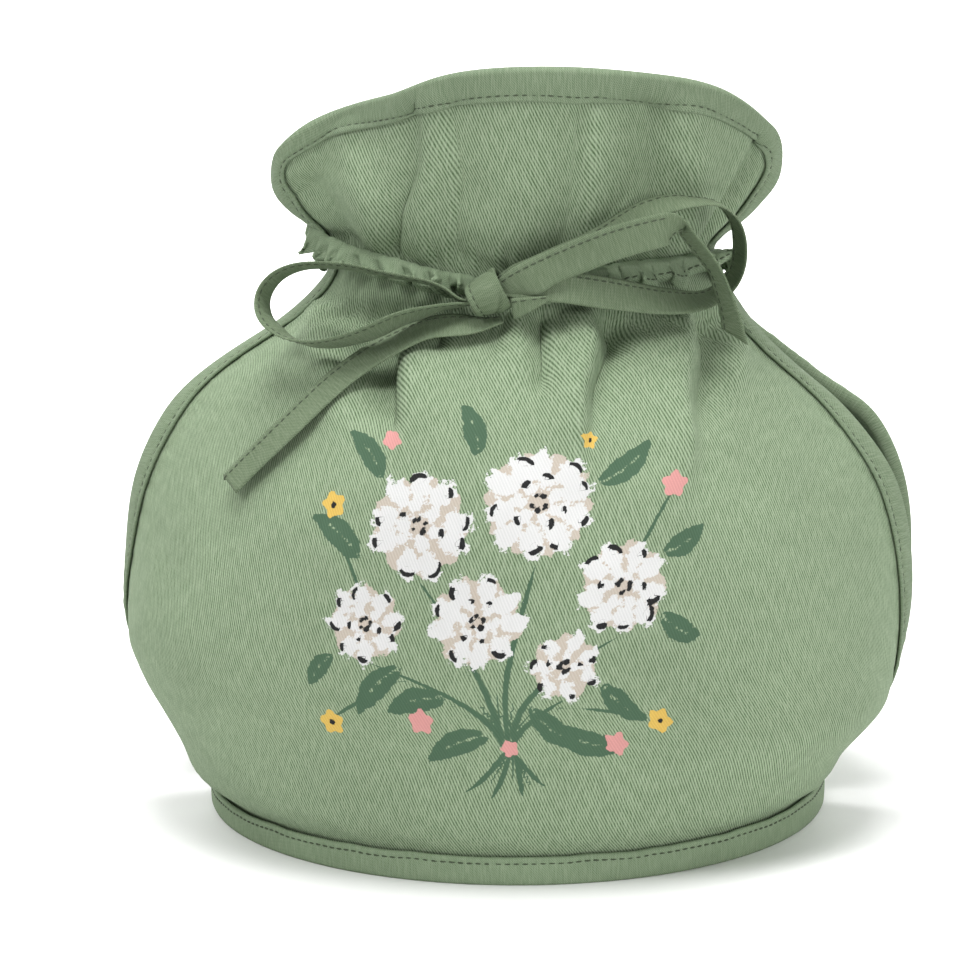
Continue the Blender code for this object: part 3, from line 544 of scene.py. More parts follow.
def onBase(sheet, reach, across):
    # points and normals at any reach up the panel and place across it, carried straight on past its edges
    rows, columns = sheet["points"].shape[:2]
    v, u = np.broadcast_arrays(np.asarray(reach, float) / sheet["rim"] * (rows - 1),
                               (np.asarray(across, float) + 1) * (columns - 1) / 2)
    i, j = np.clip(v.astype(int), 0, rows - 2), np.clip(u.astype(int), 0, columns - 2)
    s, t = (v - i)[..., None], (u - j)[..., None]

    def blend(grid):
        # the four grid points round each place, each by how near it lies
        return (grid[i, j] * (1 - s) * (1 - t) + grid[i + 1, j] * s * (1 - t)
                + grid[i, j + 1] * (1 - s) * t + grid[i + 1, j + 1] * s * t)
    return blend(sheet["points"]), unit(blend(sheet["normals"]))


def lengthAt(sheet, reach):
    # the cloth's width at any reach, between the rows it is known for
    return np.interp(reach, sheet["reach"], sheet["length"])


def roundCorner(fromSide, fromRim, sideRadius, rimRadius):
    # a square corner drawn in to a quarter ellipse: each point slides straight toward the ellipse's middle
    a, b = np.clip(1 - fromSide / sideRadius, 0, 1), np.clip(1 - fromRim / rimRadius, 0, 1)
    inside = (a > 0) & (b > 0)
    shrink = np.where(inside, np.maximum(a, b) / np.maximum(np.hypot(a, b), 1e-9), 1)
    return (np.where(inside, sideRadius * (1 - a * shrink), fromSide),
            np.where(inside, rimRadius * (1 - b * shrink), fromRim))


def frontPlaces(length):
    # places along a row: close together behind the print, wider to the sides
    half = min(sampling["printHalf"], sampling["printShare"] * length)
    left = np.linspace(0, length / 2 - half, sampling["sideColumns"], endpoint=False)
    printed = length / 2 + np.linspace(-half, half, sampling["printColumns"])
    return np.concatenate([left, printed, (length - left)[::-1]])


def backPlaces(length):
    # places along a row, evenly spaced
    return np.linspace(0, length, sampling["backColumns"])


def addPanel(name, panel, base, reach, places, material, node, fields=None):
    # The panel as wadded cloth: its rim's corners are rounded, it is pressed thin in the bindings and at the
    # neck and full elsewhere, and it puckers in small waves beside the stitching.
    sheet = panelSheet(panel, reach, places)
    side, down = sheet["side"], sheet["rim"] - sheet["reach"][:, None]
    fromSide, fromRim = roundCorner(side, down, *cloth["corner"])
    reached = sheet["rim"] - fromRim
    across = np.sign(sheet["across"]) * (1 - 2 * fromSide / lengthAt(base, reached))
    moved = (fromSide != side)[..., None]
    points, normals = (np.where(moved, new, sheet[key])
                       for new, key in zip(onBase(base, reached, across), ("points", "normals")))
    near = np.minimum(np.minimum(side, np.abs(sheet["reach"] - sheet["neck"])[:, None] + 3),
                      np.minimum(sheet["reach"][:, None], down))
    full = ease(near, cloth["edgeFlat"], cloth["padFull"] - cloth["edgeFlat"])
    thick = cloth["edgeThick"] + (cloth["padThick"] - cloth["edgeThick"]) * full
    u, v = sheet["place"] - sheet["length"][:, None] / 2, sheet["reach"][:, None]
    # soft unevenness of the wadding, and puckers where the stitching draws the cloth in
    edge, (inBy, wide), (long, short) = near - cloth["bindWidth"], cloth["puckerAt"], cloth["unevenPitch"]
    pucker = cloth["pucker"] * wander(v + 0.4 * u, 21, cloth["puckerPitch"]) * bell(edge - inBy, wide) * (edge > 0)
    uneven = cloth["uneven"] * wander(u + 0.35 * v, 31, long) * wander(v - 0.2 * u, 32, short) * full
    middle = points + normals * (pucker * 0.7 + uneven)[..., None]
    values = fields(u, v) if fields else {}
    both = [(title, np.stack([grid, np.full(grid.shape, -9.0)])) for title, grid in values.items()]
    piece = thickSheet(name, middle, normals, thick / 2, u, v, material, node, both)
    # the cloth's width along each row, and each row's reach up from the hem
    length, reach = sheet["length"], sheet["reach"]


frontBase, backBase = baseOf(frontPanel), baseOf(backPanel)


# the printed posy
posy = {
    "middle": (1.0, 80.0),        # millimetres across from the panel's middle and up from its hem
    "seed": 12,
    # blossoms: across, up, radius, petals, turn
    "blossoms": ((-21, 22, 15.0, 9, 0.2), (11, 29, 16.0, 10, 0.9), (35, 6, 13.5, 9, 0.5), (-35, -5, 11.5, 8, 0.1),
                 (-4, -3, 13.5, 9, 1.4), (20, -15, 10.0, 7, 2.2)),
    # leaves: across, up, length, width, angle
    "leaves": ((-37, 12, 20, 7.5, 148), (-32, 34, 18, 7, 128), (-6, 42, 17, 6.5, 104), (27, 34, 20, 7.5, 40),
               (46, 14, 15, 6.5, 28), (46, -2, 15, 6.5, -30), (-24, -16, 20, 7, 226), (-12, -24, 18, 7, 196),
               (10, -26, 18, 7, 318), (14, -32, 22, 7.5, 344), (30, -20, 16, 6.5, 318), (-2, -34, 20, 7, 206),
               (-44, -14, 12, 5.5, 232)),
    # stems: from across, up to across, up, bend, half width
    "stems": ((-21, 8, 2, -38, 0.55, 0.75), (11, 13, 3, -38, 0.6, 0.8), (35, -7, 4, -38, 0.5, 0.7),
              (-35, -15, 1, -38, 0.45, 0.7), (-4, -15, 2, -38, 0.7, 0.75), (20, -24, 4, -38, 0.6, 0.7),
              (2, -38, -10, -52, 1.4, 0.75), (3, -38, -2, -54, 1.3, 0.75), (4, -38, 7, -53, 1.4, 0.75),
              (3, -38, 14, -50, 1.5, 0.7), (-47, 24, -36, 2, 1.0, 0.5), (49, 32, 36, 10, 1.0, 0.5),
              (-46, -32, -26, -20, 1.0, 0.5), (44, -30, 22, -26, 1.0, 0.5)),
    # small flowers: across, up, radius, ink
    "buds": ((-47, 26, 3.8, "yellow"), (-46, -33, 3.6, "yellow"), (45, -31, 3.6, "yellow"), (24, 47, 3.0, "yellow"),
             (49, 33, 3.8, "pink"), (-20, -31, 3.6, "pink"), (32, -37, 3.4, "pink"), (-30, 46, 3.0, "pink"),
             (3, -38, 2.6, "pink")),
    # inks in the order they are printed: colour, and how far a dry brush breaks their edge
    "inks": {"stem": ((0.058, 0.112, 0.066), 1.3), "leaf": ((0.058, 0.112, 0.066), 2.6),
             "beige": ((0.46, 0.405, 0.345), 5.0), "white": ((0.60, 0.60, 0.595), 6.5),
             "yellow": ((0.60, 0.40, 0.09), 1.6), "pink": ((0.56, 0.26, 0.245), 1.6),
             "charcoal": ((0.012, 0.012, 0.013), 1.4), "stroke": ((0.012, 0.012, 0.013), 1.4)},
    "lines": ("stroke", "stem"),
    "inkEdge": 0.12,
    # rings of petals: how far out, half length and width in shares of the radius, how many have a stroke
    "rings": ((0.68, 0.29, 0.20, 0.8), (0.33, 0.17, 0.12, 0.5)),
    "blank": 6.0,                 # the distance where an ink is not
    "dots": 5, "dotTurn": 1.2566,      # in a blossom's heart, and the turn from each to the next
}


def posyInks(u, v):
    # Signed distances in millimetres, plus inside: petals and leaves are ovals, small flowers are scalloped
    # discs. A brush line keeps its side distance and its half width apart, so that it stays thin and whole.
    rng = np.random.default_rng(posy["seed"])
    u, v = u - posy["middle"][0], v - posy["middle"][1]
    blank = posy["blank"]
    inks = {ink: np.full(u.shape, -blank) for ink in posy["inks"] if ink not in posy["lines"]}
    lines = {kind: [np.full(u.shape, blank), np.full(u.shape, -1.0)] for kind in posy["lines"]}

    def lay(ink, distance):
        # joins a shape to its ink: the larger of the two distances
        inks[ink] = np.maximum(inks[ink], distance)

    def oval(x, y, long, wide, angle):
        # how far inside the outline, as a share from the middle out, by the shorter half
        along = (u - x) * math.cos(angle) + (v - y) * math.sin(angle)
        aside = -(u - x) * math.sin(angle) + (v - y) * math.cos(angle)
        return (1 - np.sqrt((along / long) ** 2 + (aside / wide) ** 2)) * min(long, wide)

    def draw(kind, side, share, half):
        # a brush line thins to nothing at both ends; where two meet, the nearer one is kept
        width = np.where((np.abs(share) > 1) | (np.abs(side) > 2.2), -1.0, half * (1 - share ** 4))
        nearer = (width > 0) & ((lines[kind][1] < 0) | (np.abs(side) < np.abs(lines[kind][0])))
        lines[kind] = [np.where(nearer, side, lines[kind][0]), np.where(nearer, width, lines[kind][1])]

    for x, y, radius, petals, turn in posy["blossoms"]:
        angle = np.arctan2(v - y, u - x)
        lay("beige", radius * (0.86 + 0.06 * np.cos(angle * petals + turn)) - np.hypot(u - x, v - y))
        for ring, (at, long, wide, stroked) in enumerate(posy["rings"]):
            count = petals - 3 * ring
            for k in range(count):
                a = turn + 2 * math.pi * (k + 0.5 * ring) / count + rng.uniform(-0.12, 0.12)
                out = radius * (at + rng.uniform(-0.05, 0.05))
                px, py = x + out * math.cos(a), y + out * math.sin(a)
                lay("white", oval(px, py, radius * long, radius * wide, a + rng.uniform(-0.3, 0.3)))
                if rng.random() < stroked:
                    way, bend = a + rng.uniform(-1.1, 1.1), radius * wide * rng.uniform(0.8, 1.05)
                    off = np.angle(np.exp(1j * (np.arctan2(v - py, u - px) - way)))
                    draw("stroke", np.hypot(u - px, v - py) - bend, off / rng.uniform(0.6, 1.1), rng.uniform(0.5, 0.8))
        for k in range(posy["dots"]):
            a, away = turn + k * posy["dotTurn"] + rng.uniform(-0.3, 0.3), radius * 0.13
            lay("charcoal", rng.uniform(0.6, 1.0) - np.hypot(u - x - away * math.cos(a), v - y - away * math.sin(a)))
    for x, y, length, width, degrees in posy["leaves"]:
        a = math.radians(degrees)
        along = ((u - x) * math.cos(a) + (v - y) * math.sin(a)) / length
        aside = -(u - x) * math.sin(a) + (v - y) * math.cos(a) + length * 0.30 * along * (1 - along)
        blade = width / 2 * np.sin(np.pi * np.clip(along, 0, 1) ** 0.85) ** 0.8 - np.abs(aside)
        blade = np.where((along > 0) & (along < 1), blade, -blank)
        lay("leaf", np.minimum(blade, np.abs(aside) - 0.22 + 3.0 * (along > 0.72)))
    for x0, y0, x1, y1, bend, half in posy["stems"]:
        share = (v - y1) / (y0 - y1)
        inside = np.clip(share, 0, 1) ** (1 / bend)
        side = (u - (x1 + (x0 - x1) * inside)) / math.hypot(1, (x0 - x1) / (y0 - y1))
        draw("stem", side, 2 * share - 1, half)
    for x, y, radius, ink in posy["buds"]:
        away, angle = np.hypot(u - x, v - y), np.arctan2(v - y, u - x)
        lay(ink, radius * (0.88 + 0.16 * np.cos(angle * 5 + x)) - away)
        lay("charcoal" if ink == "yellow" else "white", radius * 0.24 - away)
    fields = {ink + "Ink": np.clip(grid, -blank, blank) for ink, grid in inks.items()}
    for kind, (side, width) in lines.items():
        fields[kind + "Side"], fields[kind + "Width"] = np.clip(side, -3, 3), width
    return fields


def posyPrint(s, colour, weave, uv):
    # each ink shows where its distance is above nought, with the broken edge of a dry brush
    brush = s.sums("SUBTRACT", s.noise(uv, cells["brush"], 5.0, 0.68), 0.5)
    grain = s.sums("SUBTRACT", s.noise(uv, cells["fleck"], 2.0, 0.6), 0.5)

    def field(title):
        return s.node("Attribute", attribute_name=title)["Fac"]

    for kind, (ink, broken) in posy["inks"].items():
        if kind in posy["lines"]:
            half = s.add(field(kind + "Width"), s.times(brush, broken))
            distance = s.sums("SUBTRACT", half, s.sums("ABSOLUTE", field(kind + "Side")))
        else:
            distance = s.add(field(kind + "Ink"), s.add(s.times(brush, broken), s.times(grain, 0.5)))
        # each ink darker where the weave dips: painted shade in the weave's valleys
        woven = s.mix(s.ramp(weave, 0.0, 1.0, 0.26, 0.0), ink, tuple(0.62 * c for c in ink))
        colour = s.mix(s.ramp(distance, -posy["inkEdge"], posy["inkEdge"]), colour, woven)
    return colour


twill = wovenCloth("green twill", twillLook)
printedTwill = wovenCloth("green twill with posy", twillLook, posyPrint)
bias = wovenCloth("green bias cloth", bindingLook)
frill = wovenCloth("green frill cloth", litFrillLook)
hemCloth = wovenCloth("green hem cloth", litHemLook)
tape = wovenCloth("green tape", shadedTapeLook)
thread = sewingThread("sewing thread", threadLook)

(hemEnd, below), (printLow, behind), (printHigh, beyond) = sampling["frontRows"]
frontRows = np.concatenate([np.linspace(hemEnd, printLow, below, endpoint=False),
                            np.linspace(printLow, printHigh, behind, endpoint=False),
                            np.linspace(printHigh, frontBase["rim"], beyond)])
backRows = np.linspace(0, backBase["rim"], sampling["backRows"])
addPanel("panelFront", frontPanel, frontBase, frontRows, frontPlaces, printedTwill, "front_panel", posyInks)
addPanel("panelBack", backPanel, backBase, backRows, backPlaces, twill, "back_panel")
print("panels laid")


# bindings
binding = {
    "step": 1.3, "stitchIn": 1.8, "groove": 0.5, "groovePitch": 2.5, "crown": 0.25, "threadIn": 0.45, "lip": 0.35,
    "wave": 0.16, "wavePitch": 11.0, "sag": 0.12, "sagPitch": 4.3,
    "round": (78, -78, 9), "edgeOut": 0.4, "edgeRadius": 1.05,      # its turn round the panel's edge
    "cornerEase": 1.6, "bunch": (0.9, 7), "smoothOver": 7,          # at the rim's corners
    "shares": (1.0, 0.965, 0.90, 0.85, 0.79, 0.73, 0.62, 0.5, 0.38, 0.25, 0.12, 0.0),
    "sideStations": 260, "rimStations": 240,
}


def stitchGroove(off, depth, spread, along, pitch, even=0.65):
    # a furrow along a seam: a bell across it, deepest at each stitch and shallowest between two
    return depth * bell(off, spread) * (even + (1 - even) * np.cos(2 * np.pi * along / pitch))


def evenly(points, step):
    # places along a line, in point numbers, at even steps of its length
    run = runAlong(points)
    at = np.linspace(0, run[-1], int(run[-1] / step) + 1)
    return np.interp(at, run, np.arange(len(points))), at


def addEdgeBinding(name, panel, base, node, seed):
    # A folded strip carried along the panel's two sides and its rim. Its middle line runs from the inner
    # line over the panel, round the edge in a half ellipse and back; the wall is laid off to both sides.
    rim, first = base["rim"], centreReach(panel["sections"])[1] + 4
    sides, rims = binding["sideStations"], binding["rimStations"]
    side = np.linspace(first, rim, sides)
    reach = np.concatenate([side, np.full(rims, rim), side[::-1]])
    across = np.concatenate([np.full(sides, -1.0), np.linspace(-1, 1, rims + 2)[1:-1], np.full(sides, 1.0)])
    number, along = evenly(onBase(base, reach, across)[0], binding["step"])
    stations = np.arange(len(reach))
    reach, across = np.interp(number, stations, reach), np.interp(number, stations, across)
    fromSide, fromRim = (1 - np.abs(across)) * lengthAt(base, reach) / 2, rim - reach
    corner = [np.flatnonzero(np.diff(np.sign(number - k)))[0] for k in (sides - 1, sides + rims)]

    def eased(distance, width):
        # nought at the corner, and a width less than the distance far from it
        return distance - width * np.tanh(distance / (binding["cornerEase"] * width))

    onRim = fromRim < 1e-6
    inSide = np.where(onRim, eased(fromSide, cloth["bindWidth"]), 0)
    inRim = np.where(onRim, 0, eased(fromRim, cloth["rimWidth"]))
    inSide, inRim = roundCorner(inSide, inRim, *cloth["innerCorner"])
    innerReach = rim - cloth["rimWidth"] - inRim
    innerLength = np.where(onRim, lengthAt(base, rim), lengthAt(base, innerReach))
    innerAcross = np.sign(across) * (1 - 2 * (cloth["bindWidth"] + inSide) / innerLength)
    fromSide, fromRim = roundCorner(fromSide, fromRim, *cloth["corner"])
    reach = rim - fromRim
    across = np.sign(across) * (1 - 2 * fromSide / lengthAt(base, reach))
    line, edgeNormal = onBase(base, reach, across)
    inner, innerNormal = onBase(base, innerReach, innerAcross)
    tangent = unit(np.gradient(line, axis=0))
    outward = unit(np.cross(tangent, edgeNormal))
    outward *= np.sign((outward * (line - inner)).sum(axis=1).mean())
    window = binding["smoothOver"]
    padded = np.concatenate([outward[:1].repeat(window // 2, 0), outward, outward[-1:].repeat(window // 2, 0)])
    average = np.ones(window) / window
    outward = unit(np.stack([np.convolve(padded[:, k], average, "valid") for k in range(3)], axis=1))
    bunch, reachOut = binding["bunch"]
    for place in corner:      # the cloth bunches a little round each corner
        line = line + outward * (bunch * bell(along - along[place], reachOut))[:, None]
    half, width = cloth["bindWall"] / 2, cloth["bindWidth"]
    stand = cloth["edgeThick"] / 2 + cloth["fitGap"] + half

    def flatLine(share):
        # share 1 at the inner line, 0 at the edge
        return onBase(base, reach + (innerReach - reach) * share, across + (innerAcross - across) * share)

    ripple = binding["wave"] * wander(along, seed, binding["wavePitch"])
    sag = binding["sag"] * wander(along, seed + 1, binding["sagPitch"])

    def wallRows(offset, detail):
        # one face of the wall, from the front's inner line round the edge to the back's
        flats = {1: [], -1: []}
        for sign, rows in flats.items():
            for share in binding["shares"]:
                groove = stitchGroove((1 - share) * width - binding["stitchIn"], binding["groove"], 0.5, along,
                                      binding["groovePitch"])
                crown = binding["crown"] * math.sin(math.pi * share) + (ripple + sag) * (1 - abs(2 * share - 1)) ** 0.5
                points, normal = flatLine(share)
                rows.append(points + normal * (sign * (stand + offset + detail * (crown - groove)))[:, None])
        radius = binding["edgeRadius"] + offset
        turned = [line + outward * (binding["edgeOut"] + radius * math.cos(a))
                  + edgeNormal * (stand + offset) * math.sin(a) for a in np.radians(np.linspace(*binding["round"]))]
        return flats[1] + turned + flats[-1][::-1]

    outer, inside = wallRows(half, 1), wallRows(-half, 0)
    inward = unit(inner - line)
    lip, backLip = (inner + sign * innerNormal * stand + inward * binding["lip"] for sign in (1, -1))
    profile = np.stack(outer + [backLip] + inside[::-1] + [lip])          # closed round the wall
    run = runAlong(profile[:, len(along) // 2])
    run = np.append(run, run[-1] + 1)
    count, stations = profile.shape[:2]
    caps = (np.arange(count) * stations, np.arange(count) * stations + stations - 1)
    makePiece(name, profile, gridQuads(count, stations, wrapRows=True), cornerUv(along[None, :], run[:, None]), bias,
              node, caps=caps)
    seam, seamNormal = flatLine(1 - binding["stitchIn"] / width)
    return [(seam + sign * seamNormal * (stand + half - binding["groove"] * binding["threadIn"]), sign * seamNormal)
            for sign in (1, -1)]


frontSeams = addEdgeBinding("bindingFront", frontPanel, frontBase, "front_edge_binding", 41)
backSeams = addEdgeBinding("bindingBack", backPanel, backBase, "back_edge_binding", 57)

hem = {"radii": (90.6, 94.0), "wall": 1.0, "gap": 0.55, "front": 8.2, "right": 9.3, "left": 6.6,
       "stitchDown": 1.9, "groove": 0.32, "groovePitch": 2.5, "stations": 500, "uneven": (0.22, 26.0),
       "puffs": ((0.22, 3, 1), (0.14, 17, 0), (0.12, 29, 2))}       # height, waves all round, shift


def addHem(name, node):
    # a channel carried round an ellipse: flat underside, two walls with rounded tops, a stitched groove
    angle = np.linspace(0, 2 * np.pi, hem["stations"] + 1)
    turn, around = angle[:-1], angle * sum(hem["radii"]) / 2

    def onEllipse(out, up):
        # a ring of points, moved out along its radii and up
        across, deep = hem["radii"]
        return np.stack([(across + out) * np.sin(turn), -(deep + out) * np.cos(turn), up], axis=-1)

    sideHeight = np.where(np.sin(angle) > 0, hem["right"], hem["left"])
    top = hem["front"] + (sideHeight - hem["front"]) * (1 - np.abs(np.cos(angle)))
    uneven, pitch = hem["uneven"]
    top = top + uneven * wander(angle * 90, 71, pitch) * np.abs(np.cos(angle)) ** 0.2
    top[-1] = top[0]
    half = cloth["edgeThick"] / 2 + hem["gap"]
    wide = half + hem["wall"]
    puff = sum(height * np.sin(waves * angle + shift) for height, waves, shift in hem["puffs"])
    foot = 0.8
    wall = [(wide - 1.0, 0), (wide - 0.35, 0.12), (wide, foot)]      # the outer wall's section: out, up
    for share in np.linspace(0.15, 1, 14):
        up = foot + (top - 1.15) * share
        under = top - up
        groove = stitchGroove(under - hem["stitchDown"], hem["groove"], 0.5, around, hem["groovePitch"])
        lip = 0.12 * bell(under - 0.8, 0.6)
        wall.append((wide - groove + lip + (0.15 + 0.5 * puff) * np.sin(np.pi * share) * 0.8, up))
    wall += [(wide - 0.28, top - 0.1), (half + 0.45, top), (half + 0.1, top - 0.2), (half, top - 0.9),
             (half, top * 0.5), (half - 0.1, 1.3)]
    rows = wall + [(-out, up) for out, up in wall[::-1]]
    out, up = (np.stack([np.broadcast_to(r[k], angle.shape) for r in rows])[:, :-1] for k in (0, 1))
    points = onEllipse(out, up)
    step = runAlong(np.stack([out[:, 0], up[:, 0]], axis=1))
    step = np.append(step, step[-1] + 1)
    makePiece(name, points, gridQuads(*points.shape[:2], wrapRows=True, wrapColumns=True),
              cornerUv(around[None, :], step[:, None]), hemCloth, node)
    return [(onEllipse(sign * (wide - 0.12), top[:-1] - hem["stitchDown"]),
             sign * np.stack([np.sin(turn), -np.cos(turn), 0 * turn], axis=1)) for sign in (1, -1)]


hemSeams = addHem("bindingHem", "hem_binding")
print("bindings folded on")


# gathered channels over the neck line
casings = {
    # across from and to, half height, left ear (out, up), right ear, node, frill pitch and depth, left end's rise
    "rows": (("casingLeft", -1.05, -0.125, 3.5, (2.5, 7.0), (0, 0), "front_casing_left", 7.0, 3.3, 6.0),
             ("casingRight", 0.05, 1.03, 4.4, (0, 0), (1.6, 1.5), "front_casing_right", 11.0, 2.4, 0),
             ("casingBack", -1.035, 1.035, 4.4, (2.0, 1.0), (2.0, 0), "back_casing", 7.5, 2.0, 0)),
    "drawnUp": (3.4, 0.0, 4.2), "drawnOver": 15, "riseOver": 60, "earOver": 16, "endOver": 5,
    "thick": 0.9, "tape": 0.8, "step": 0.45, "across": 21, "seamRow": 5,
    "pleat": 1.25, "finePleat": (0.35, 2.6), "fineLift": (0.3, 5.0),      # heights and pitches
    "swell": 0.7, "swellUneven": 0.25, "swellLeft": (0.5, 20), "swellRight": (0.3, 14),
    "slide": 0.21, "lift": 0.78, "out": 0.95, "stand": 0.5, "archOver": 0.32, "archExtra": 1.0,
    # toward either side of the front: which side, climb, and from and over what share across
    "climb": ((-1, 4.0, 0.08, 0.45), (1, 3.6, 0.06, 0.45)),
    "overBinding": (2.5, 8),      # where a strip comes down from the edge binding, inward of it
}


def onNeck(thick, side):
    # how far the middle of a strip stands off the panel: more where it crosses the edge binding
    over = (cloth["fitGap"] + cloth["bindWall"]) * (1 - ease(side - cloth["bindWidth"], *casings["overBinding"]))
    return cloth["edgeThick"] / 2 + cloth["neckGap"] + thick / 2 + over


def neckRise(across, facing):
    # the gathering line climbs toward the front's side edges
    if facing < 0:
        return 0 * across
    return sum(climb * ease(side * across, start, over) for side, climb, start, over in casings["climb"])


def addCasing(name, start, stop, halfTall, leftEar, rightEar, node, pitch, depth, rise, seed):
    # A ruched strip: its top edge is sewn down, and it stands over the tape; toward its free lower edge it
    # opens into a frill, a sine of uneven pitch that also shifts sideways at twice the rate, so that each
    # wave overhangs. Small pleats run up from every wave.
    panel = backPanel if node.startswith("back") else frontPanel
    base = baseOf(dict(panel, creases=(), folds=(), gather=dict(panel["gather"], depth=0)))
    size = base["half"]
    across = np.linspace(start, stop, int((stop - start) * size / casings["step"]))[None, :]
    share = np.linspace(0, 1, casings["across"])[:, None]      # from the free edge up to the sewn one
    tall, run = 2 * share - 1, across * size
    fromLeft, fromRight = run - run[0, 0], run[0, -1] - run
    reach = casings["earOver"]
    near = [ease(reach - np.abs(across - end) * size, 0, reach) for end in (start, stop)]
    ears = sum(n * np.array(ear)[:, None, None] for n, ear in zip(near, (leftEar, rightEar)))
    phase = 2 * np.pi * run / pitch + 1.2 * wander(run, seed, pitch * 4.3)
    ends = ease(np.minimum(fromLeft, fromRight), 0, casings["endOver"])
    swell = casings["swell"] + casings["swellUneven"] * wander(run, seed + 1, pitch * 2.3)
    for side, (extra, wide) in ((fromLeft, casings["swellLeft"]), (fromRight, casings["swellRight"])):
        swell = swell + extra * bell(side, wide)
    loose = (1 - share) ** 0.9 * swell * (0.3 + 0.7 * ends)
    wave = np.sin(phase + 0.5 * share)
    (fine, finePitch), (fineLift, liftPitch) = casings["finePleat"], casings["fineLift"]
    pleats = casings["pleat"] * (np.sin(phase + 1.1 * share) * swell
                                 + fine * wander(run + 2.2 * share, seed + 2, finePitch)) * np.sin(np.pi * share) ** 0.5
    slide = casings["slide"] * pitch * loose * np.sin(2 * phase + 0.6)
    lift = (neckRise(across, panel["facing"]) + (0.5 + 0.5 * ease((tall + 1) / 1.4)) * ears[1]
            + rise * (1 - ease(fromLeft, 0, casings["riseOver"])) + casings["lift"] * depth * loose * np.cos(phase)
            + fineLift * (1 - loose) * wander(run, seed + 4, liftPitch))
    points, normal = onBase(base, base["neck"] + tall * halfTall + lift, across + slide / size)
    if start < -1 and panel is frontPanel:      # its left end is drawn up and in under the collar
        points = points + bell(fromLeft, casings["drawnOver"])[..., None] * np.array(casings["drawnUp"])
    stand = onNeck(casings["thick"], (1 - np.abs(across)) * size)
    arch = ease(1 - np.abs(tall), 0, casings["archOver"]) * (casings["tape"] + cloth["fitGap"] + casings["archExtra"])
    stand = stand + arch + loose * depth * (1 + wave) * casings["out"] + pleats + casings["stand"] + ears[0]
    middle = points + normal * stand[..., None]
    facing = gridNormals(middle)
    facing *= np.sign((facing * normal).sum())
    half, seamRow = casings["thick"] / 2, casings["seamRow"]
    thickSheet(name, middle, facing, half, run * 1.6, tall * halfTall * 1.3, frill, node)
    return [(middle[seamRow] + facing[seamRow] * (half - 0.05), facing[seamRow])] if start > 0 else []


casingSeams = []
for number, row in enumerate(casings["rows"]):
    casingSeams += addCasing(*row, 80 + 10 * number)
print("neck gathered")


# the tie
tie = {"thick": 0.8, "wide": 9.6, "step": 1.0, "across": 13, "turnShare": 0.52, "cutOver": 10,
       "groove": 0.22, "groovePitch": 2.4, "curl": 0.35, "curlPitch": 30.0, "crinkle": 0.12, "crinklePitch": 6.0,
       "neckTape": 4.2, "neckRows": 5, "neckEnds": (0.05, -0.115)}
# one row per section from the knot on: x, y, z of the path, lean from straight back, width
loopLeft = (
    (-8, -59.4, 158.9, 12, 4.6), (-11.2, -60, 159, 12, 6), (-15.4, -60.8, 161.9, 12, 8.6),
    (-21.9, -60.6, 164.7, 14, 9.6), (-33.1, -58.4, 166.5, 15, 9.6), (-43.7, -55, 168.2, 17, 9.6),
    (-53.2, -51.5, 168.4, 18, 9.6), (-61.5, -49.5, 167.3, 20, 9.6), (-67.3, -49.5, 164.5, 23, 9.6),
    (-70.8, -51, 160.1, 25, 9.6), (-71.2, -54, 155.3, 22, 9.6), (-68.1, -58.5, 150.8, 8, 9.6),
    (-61.6, -62.5, 148, -10, 9.6), (-54.1, -66, 147.8, -22, 9.6), (-45.8, -69, 149.7, -28, 9.6),
    (-37.8, -70.5, 152.8, -32, 9.6), (-30.3, -69.5, 156.1, -32, 9.6), (-24.1, -67.5, 157.6, -30, 9.6),
    (-17.3, -64.5, 158.3, -28, 9), (-12, -61, 158.2, -22, 6.5), (-7.4, -59.2, 157.8, -12, 4.4),
)
loopRight = (
    (-2.1, -56, 161.7, 78, 3.2), (1.4, -56, 162, 76, 5.4), (7.2, -55.2, 163.3, 66, 7), (14.5, -55.4, 165.6, 60, 8.4),
    (22.1, -56.4, 168.6, 54, 9.2), (30.2, -56.6, 173.4, 46, 9.6), (38.5, -55.4, 179.9, 35, 9.6),
    (47.2, -54.4, 183.5, 28, 9.6), (54.7, -52.2, 185, 14, 9.6), (60, -49.5, 184.8, 0, 9.6),
    (64.6, -46.5, 181.8, -14, 9.6), (67.1, -43.8, 177.3, -22, 9.6), (68, -41, 172.3, -25, 9.6),
    (67.7, -39.6, 166.7, -26, 9.6), (65.8, -39, 161.5, -27, 9.6), (62.5, -40, 157.6, -30, 9.6),
    (57.7, -43.2, 155.1, -34, 9.6), (51.3, -47, 154, -40, 9.6), (43.7, -50.4, 154.2, -46, 9.6),
    (33.7, -55, 155.6, -58, 9.6), (23.7, -57.6, 157.1, -66, 9.6), (14.8, -59, 158.4, -66, 9),
    (7, -59.6, 158.8, -56, 7), (1.6, -59.2, 159.9, -40, 5), (-1.2, -58.8, 160.5, -30, 4),
)
tailLeft = (
    (-0.7, -57.4, 153.2, -20, 4.4), (-4.5, -58.4, 152.3, -24, 6), (-9.9, -59.8, 152, -29, 9),
    (-20.7, -61.2, 151.2, -32, 9.6), (-28.9, -62.6, 148, -36, 9.6), (-40.3, -66, 141.4, -38, 9.6),
    (-46.4, -68.6, 136.8, -40, 9.6), (-57.8, -71.2, 126.1, -41, 9.6), (-68.6, -70.4, 115.6, -39.6, 9.6),
    (-76.1, -68.8, 107.9, -38.6, 9.6),
)
